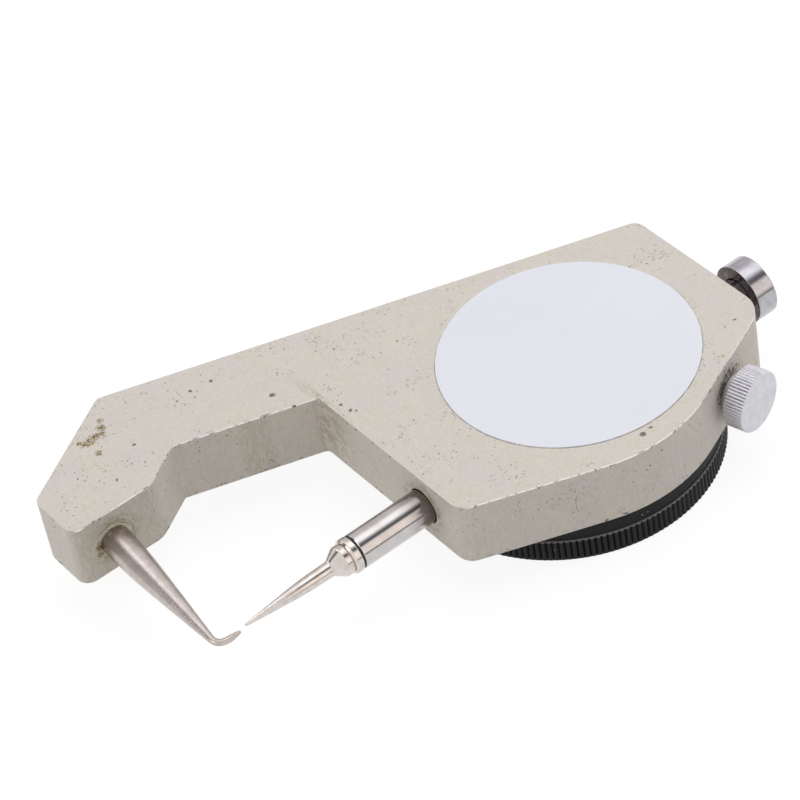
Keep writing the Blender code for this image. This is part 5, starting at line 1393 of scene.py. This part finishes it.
@dataclass
class DialGroup:
    """Ribbed bezel with its dial, printed divisions, crystal and hand."""

    maker: Maker
    centre: Point = (0.0, DIAL_OFFSET, 0.0)
    ribs: int = 168
    rib_facets: int = 8
    rib_depth: float = 0.42
    section: tuple[tuple[float, ...], ...] = (
        (28.6, -0.3), (30.5, -0.3, 0.45), (30.5, -3.70, 0.12), (30.8, -3.86, 0.08),
        (31.0, -4.14, 0.10, 0.8), (31.0, -4.5, 0.0, 1.0), (31.0, -8.2, 0.0, 1.0),
        (31.0, -8.62, 0.10, 0.7), (30.58, -9.0, 0.12), (28.0, -9.0, 0.25), (28.0, -8.2),
        (29.05, -8.2), (29.05, -6.8), (28.2, -6.8), (28.2, -4.1), (30.1, -4.1), (30.1, -1.9),
        (28.6, -1.9),
    )
    print_high: float = -3.79
    print_low: float = -3.83
    divisions: int = 100
    tick_outer: float = 27.3
    tick_lengths: tuple[float, float, float] = (1.7, 2.4, 3.3)
    tick_widths: tuple[float, float, float] = (0.11, 0.13, 0.20)
    figure_radius: float = 20.4
    figure_size: float = 5.2
    figures: int = 10
    ring_steps: int = 180
    ring_width: float = 0.07

    def build(self) -> None:
        """Make the bezel and the print; dress the dial, the crystal, the hand and the base."""
        self._bezel()
        self._print()
        self.maker.keep("dial", Coating("dial_enamel"))
        self.maker.keep("crystal", ClearSheet("crystal_clear"))
        self.maker.keep("pointer", Coating(
            "hand_black", base=(0.008, 0.008, 0.009), shade=(0.016, 0.016, 0.018), gloss=0.28))
        self.maker.keep("dial_base", BlackMoulding("plastic_black"))

    def _bezel(self) -> None:
        """Bezel with a smooth band above and fine ribs below."""
        def groove(share: float) -> float:
            """Depth of a narrow groove between two flat ribs."""
            wave = 0.5 - 0.5 * math.cos(FULL_TURN * share * self.ribs)
            return self.rib_depth * wave ** GROOVE_POWER

        mesh = self.maker.turned(
            Step.row(self.section), self.ribs * self.rib_facets, self.centre, Z_AXIS,
            closed=True, pieces=3, rib=groove)
        self.maker.piece(
            "ribbed_bezel", mesh, BlackMoulding("plastic_black"), Body.BEZEL, Slot.PLASTIC,
            ("bezel",), sharp=46.0)

    def _print(self) -> None:
        """Divisions, their ring and plain numbers, a thin layer of ink on the dial."""
        bm = bmesh.new()
        centre = Vector(self.centre[:2])
        for division in range(self.divisions):
            rank = 2 if division % 10 == 0 else 1 if division % 5 == 0 else 0
            way = self._way(division / self.divisions)
            self._add_bar(
                bm, centre + way * (self.tick_outer - self.tick_lengths[rank]),
                centre + way * self.tick_outer, self.tick_widths[rank])
        spots = [centre + self._way(index / self.ring_steps) * self.tick_outer
                 for index in range(self.ring_steps + 1)]
        for start, end in zip(spots, spots[1:]):
            self._add_bar(bm, start, end, self.ring_width)
        for number in range(self.figures):
            self._add_figure(bm, number, centre)
        finish = Coating(
            "ink_black", base=(0.012, 0.012, 0.013), shade=(0.022, 0.022, 0.024), gloss=0.5)
        self.maker.piece("dial_print", bm, finish, Body.BEZEL, Slot.INK)

    @staticmethod
    def _way(share: float) -> Vector:
        """Direction at a share of a turn."""
        return Vector((math.cos(FULL_TURN * share), math.sin(FULL_TURN * share)))

    def _add_bar(self, bm: bmesh.types.BMesh, start: Vector, end: Vector, half: float) -> None:
        """Add a bar of ink between two points, as wide on each side as half says."""
        side = (end - start).normalized().orthogonal() * half
        outline = [start - side, end - side, end + side, start + side]
        self.maker.add_prism(bm, outline, self.print_low, self.print_high)

    def _add_figure(self, bm: bmesh.types.BMesh, number: int, centre: Vector) -> None:
        """Add a plain number, upright when the cap is up.

        Args:
            bm: mesh that takes the number.
            number: digit of the millimetres.
            centre: the dial's middle.
        """
        curve = bpy.data.curves.new("figure", "FONT")
        curve.body = str(number)
        curve.align_x = "CENTER"
        curve.align_y = "CENTER"
        curve.size = self.figure_size
        curve.extrude = (self.print_high - self.print_low) / 2
        text = bpy.data.objects.new("figure", curve)
        bpy.context.scene.collection.objects.link(text)
        graph = bpy.context.evaluated_depsgraph_get()
        mesh = bpy.data.meshes.new_from_object(text.evaluated_get(graph))
        place = centre + self._way(number / self.figures) * self.figure_radius
        middle = (self.print_high + self.print_low) / 2
        mesh.transform(Matrix(
            ((0, 1, 0, place.x), (1, 0, 0, place.y), (0, 0, -1, middle), (0, 0, 0, 1))))
        bm.from_mesh(mesh)
        bpy.data.meshes.remove(mesh)
        bpy.data.objects.remove(text)
        bpy.data.curves.remove(curve)


@dataclass
class Movement:
    """Gears, arbors, plates and screws behind the dial, kept as packed."""

    maker: Maker

    def build(self) -> None:
        """Dress every node by the metal that it is made of."""
        brass = Metal("brass_bright", base=(0.75, 0.58, 0.30), shade=(0.60, 0.43, 0.20), gloss=0.22)
        steel = Metal("steel_plain", base=(0.52, 0.52, 0.54), shade=(0.38, 0.38, 0.40))
        blued = Metal("steel_blued", base=(0.06, 0.09, 0.20), shade=(0.04, 0.05, 0.11))
        groups = {
            brass: ["lower_bush", "upper_bush", "movement_front_plate", "movement_back_plate",
                    "rack_wheel", "take_up_wheel", "hairspring_stud"]
            + [f"movement_pillar_{number}" for number in (1, 2, 3)],
            steel: ["guide_pin", "rack_arbor", "take_up_arbor", "centre_arbor"]
            + [f"{kind}_screw_{number}" for kind in ("pillar", "plate", "base")
               for number in (1, 2, 3)],
            blued: ["hairspring"],
        }
        for finish, names in groups.items():
            for name in names:
                self.maker.keep(name, finish)


@dataclass(frozen=True)
class Cove:
    """Curved sheet that only mirrors see, bright and dark by the angle round the spindle."""

    name: str = "cove"
    start_x: float = 0.05
    end_x: float = 0.80
    axis_y: float = -0.017
    axis_z: float = 0.016
    radius: float = 0.60
    lowest: float = 0.001
    stops: tuple[tuple[float, Colour], ...] = (
        (4.0, (0.60, 0.58, 0.58)), (18.0, (0.80, 0.77, 0.77)), (44.0, (0.84, 0.81, 0.81)),
        (56.0, (1.10, 1.07, 1.07)), (66.0, (1.60, 1.59, 1.61)), (88.0, (1.70, 1.70, 1.72)),
        (98.0, (1.05, 1.05, 1.07)), (106.0, (0.42, 0.42, 0.44)), (111.0, (0.16, 0.16, 0.17)),
        (124.0, (0.16, 0.16, 0.17)), (127.0, (0.85, 0.80, 0.76)), (134.0, (1.28, 1.17, 1.09)),
        (166.0, (1.36, 1.24, 1.15)), (172.0, (1.05, 0.97, 0.92)), (175.5, (0.70, 0.65, 0.62)),
        (176.5, (0.05, 0.045, 0.045)), (181.5, (0.05, 0.045, 0.045)),
    )

    def outline(self) -> list[tuple[float, float, Colour]]:
        """Corners across the sheet: place in Y, height, and brightness."""
        made = []
        for degrees, level in self.stops:
            angle = math.radians(degrees)
            y, z = self.radius * math.cos(angle), self.radius * math.sin(angle)
            made.append((self.axis_y + y, max(self.axis_z + z, self.lowest), level))
        return made


@dataclass(frozen=True)
class Flag:
    """Flat grey sheet that only mirrors see."""

    name: str
    place: Point
    facing: Point
    width: float
    height: float
    level: Colour


@dataclass(frozen=True)
class Lamp:
    """Soft lamp that points at the gauge, with the size of its face and its watts."""

    name: str
    place: Point
    size: tuple[float, float]
    power: float
    colour: Colour
    mirrored: bool = True


@dataclass
class Studio:
    """White floor, soft lamps, sheets for the bright metal, and the photograph's camera."""

    floor_size: float = 3.0
    floor_glow: float = 0.90
    floor_matt: float = 0.16
    floor_bounce: float = 0.80
    room: Colour = (0.420, 0.412, 0.398)
    cove: Cove = Cove()
    flag: Flag = Flag("anvil_flag", (-0.715, 0.640, 0.475), (-0.819, 0.0, 0.574), 0.5, 1.12,
                      (0.225, 0.205, 0.190))
    lamps: tuple[Lamp, ...] = (
        Lamp("key", (0.18, 0.02, 0.78), (0.62, 0.58), 2.18, (0.955, 0.970, 1.0), mirrored=False),
        Lamp("back", (0.03, 0.60, 0.76), (0.42, 0.32), 0.64, (0.99, 0.99, 1.0)),
        Lamp("left", (-0.85, 0.15, 0.40), (0.45, 0.45), 0.80, (1.0, 0.98, 0.96)),
        Lamp("right", (0.90, -0.10, 0.35), (0.50, 0.50), 0.80, (1.0, 0.99, 0.98)),
    )
    camera_place: Point = (-0.24051, -0.398484, 0.46154)
    camera_right: Point = (0.77760947, -0.61316588, -0.13910832)
    camera_down: Point = (-0.50791779, -0.4821968, -0.71379673)
    camera_forward: Point = (0.37059821, 0.62571068, -0.68639865)
    lens: float = 155.25
    sensor: float = 36.0

    def build(self) -> None:
        """Set up everything that isn't the object."""
        self._world()
        self._floor()
        self._cove()
        self._flag()
        for lamp in self.lamps:
            self._hang(lamp)
        self._camera()
        bpy.context.scene.view_settings.view_transform = "Standard"

    def _world(self) -> None:
        """Soft room light that camera, mirrors and glass see as white."""
        world = bpy.data.worlds.new("room")
        world.use_nodes = True
        world.node_tree.nodes.clear()
        bench = Bench(world.node_tree)
        dim, white = (bench.node("ShaderNodeBackground", {}, {"Color": level})
                      for level in (self.room, (1.0, 1.0, 1.0)))
        bench.close("ShaderNodeOutputWorld", bench.node(
            "ShaderNodeMixShader", {}, {0: self._seen(bench), 1: dim, 2: white}))
        bpy.context.scene.world = world

    @staticmethod
    def _seen(bench: Bench) -> Flow:
        """One for camera, glossy and transmission rays, and zero for the others."""
        camera, glossy, through = (
            bench.node("ShaderNodeLightPath", output=f"Is {kind} Ray")
            for kind in ("Camera", "Glossy", "Transmission"))
        return camera.greatest(glossy).greatest(through)

    @staticmethod
    def _sheet(
        name: str, points: Sequence[Point], faces: Sequence[Sequence[int]] = ((0, 1, 2, 3),),
    ) -> tuple[bpy.types.Object, Bench]:
        """Thin sheet, marked as not part of the gauge.

        Args:
            name: the sheet's name.
            points: its corners.
            faces: its faces, one of four corners if none are given.

        Returns:
            The sheet, and the bench of its empty material.
        """
        mesh = bpy.data.meshes.new(name)
        mesh.from_pydata(points, [], faces)
        sheet = bpy.data.objects.new(name, mesh)
        bpy.context.scene.collection.objects.link(sheet)
        material = bpy.data.materials.new(name)
        material.use_nodes = True
        material.node_tree.nodes.clear()
        mesh.materials.append(material)
        return sheet, Bench(material.node_tree)

    @staticmethod
    def _corners(width: float, height: float) -> list[Point]:
        """Corners of a level rectangle round the zero."""
        x, y = width / 2, height / 2
        return [(-x, -y, 0.0), (x, -y, 0.0), (x, y, 0.0), (-x, y, 0.0)]

    def _floor(self) -> None:
        """White floor that glows for the camera and the mirrors, and keeps a light shadow."""
        _, bench = self._sheet("floor", self._corners(self.floor_size, self.floor_size))
        glow, matt, bounce = (
            bench.node(kind, {}, {"Color": (level,) * 3}) for kind, level in (
                ("ShaderNodeEmission", self.floor_glow), ("ShaderNodeBsdfDiffuse", self.floor_matt),
                ("ShaderNodeBsdfDiffuse", self.floor_bounce)))
        both = bench.node("ShaderNodeAddShader", {}, {0: glow, 1: matt})
        bench.close("ShaderNodeOutputMaterial", bench.node(
            "ShaderNodeMixShader", {}, {0: self._seen(bench), 1: bounce, 2: both}))

    @staticmethod
    def _mirror_only(sheet: bpy.types.Object, bench: Bench, level: Operand) -> None:
        """Hide a sheet from all but mirrors, and make it glow.

        Args:
            sheet: the sheet.
            bench: bench of its material.
            level: its brightness.
        """
        for kind in ("camera", "diffuse", "transmission", "volume_scatter", "shadow"):
            setattr(sheet, f"visible_{kind}", False)
        glow = bench.node("ShaderNodeEmission", {}, {"Color": level})
        bench.close("ShaderNodeOutputMaterial", glow)

    def _flag(self) -> None:
        """Stand the grey flag up, facing the gauge."""
        flag = self.flag
        sheet, bench = self._sheet(flag.name, self._corners(flag.width, flag.height))
        self._mirror_only(sheet, bench, flag.level)
        sheet.location = flag.place
        sheet.rotation_euler = Vector(flag.facing).to_track_quat("Z", "Y").to_euler()

    def _cove(self) -> None:
        """Hang the cove, with its brightness kept at its corners."""
        outline = self.cove.outline()
        points = [(x, y, z) for y, z, _ in outline for x in (self.cove.start_x, self.cove.end_x)]
        faces = [(row, row + 1, row + 3, row + 2) for row in range(0, len(points) - 2, 2)]
        sheet, bench = self._sheet(self.cove.name, points, faces)
        levels = sheet.data.color_attributes.new("level", "FLOAT_COLOR", "POINT")
        for index, point in enumerate(levels.data):
            point.color = (*outline[index // 2][2], 1.0)
        kept = bench.node("ShaderNodeVertexColor", {"layer_name": levels.name})
        self._mirror_only(sheet, bench, kept)

    @staticmethod
    def _hang(lamp: Lamp) -> None:
        """Add a lamp."""
        light = bpy.data.lights.new(lamp.name, "AREA")
        light.shape = "RECTANGLE"
        light.size, light.size_y = lamp.size
        light.energy = lamp.power
        light.color = lamp.colour
        made = bpy.data.objects.new(lamp.name, light)
        made.visible_glossy = lamp.mirrored
        made.location = lamp.place
        made.rotation_euler = (-Vector(lamp.place)).to_track_quat("-Z", "Y").to_euler()
        bpy.context.scene.collection.objects.link(made)

    def _camera(self) -> None:
        """Place the camera as solved from the photograph."""
        data = bpy.data.cameras.new("camera")
        data.lens = self.lens
        data.sensor_width = self.sensor
        data.clip_start, data.clip_end = 0.01, 10.0
        camera = bpy.data.objects.new("camera", data)
        axes = (Vector(self.camera_right), -Vector(self.camera_down), -Vector(self.camera_forward))
        turn = Matrix(axes).transposed().to_4x4()
        camera.matrix_world = Matrix.Translation(self.camera_place) @ turn
        bpy.context.scene.collection.objects.link(camera)
        bpy.context.scene.camera = camera


def main() -> None:
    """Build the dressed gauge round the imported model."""
    logging.basicConfig(level=logging.INFO, format="%(name)s %(message)s")
    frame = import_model()
    datum = Datum.from_frame(DIAL_OFFSET)
    maker = Maker(datum, frame)
    for assembly in (Casting, HookedAnvil, SpindleGroup, LockScrew, DialGroup, Movement):
        assembly(maker).build()
    Studio().build()


if __name__ == "__main__":
    main()
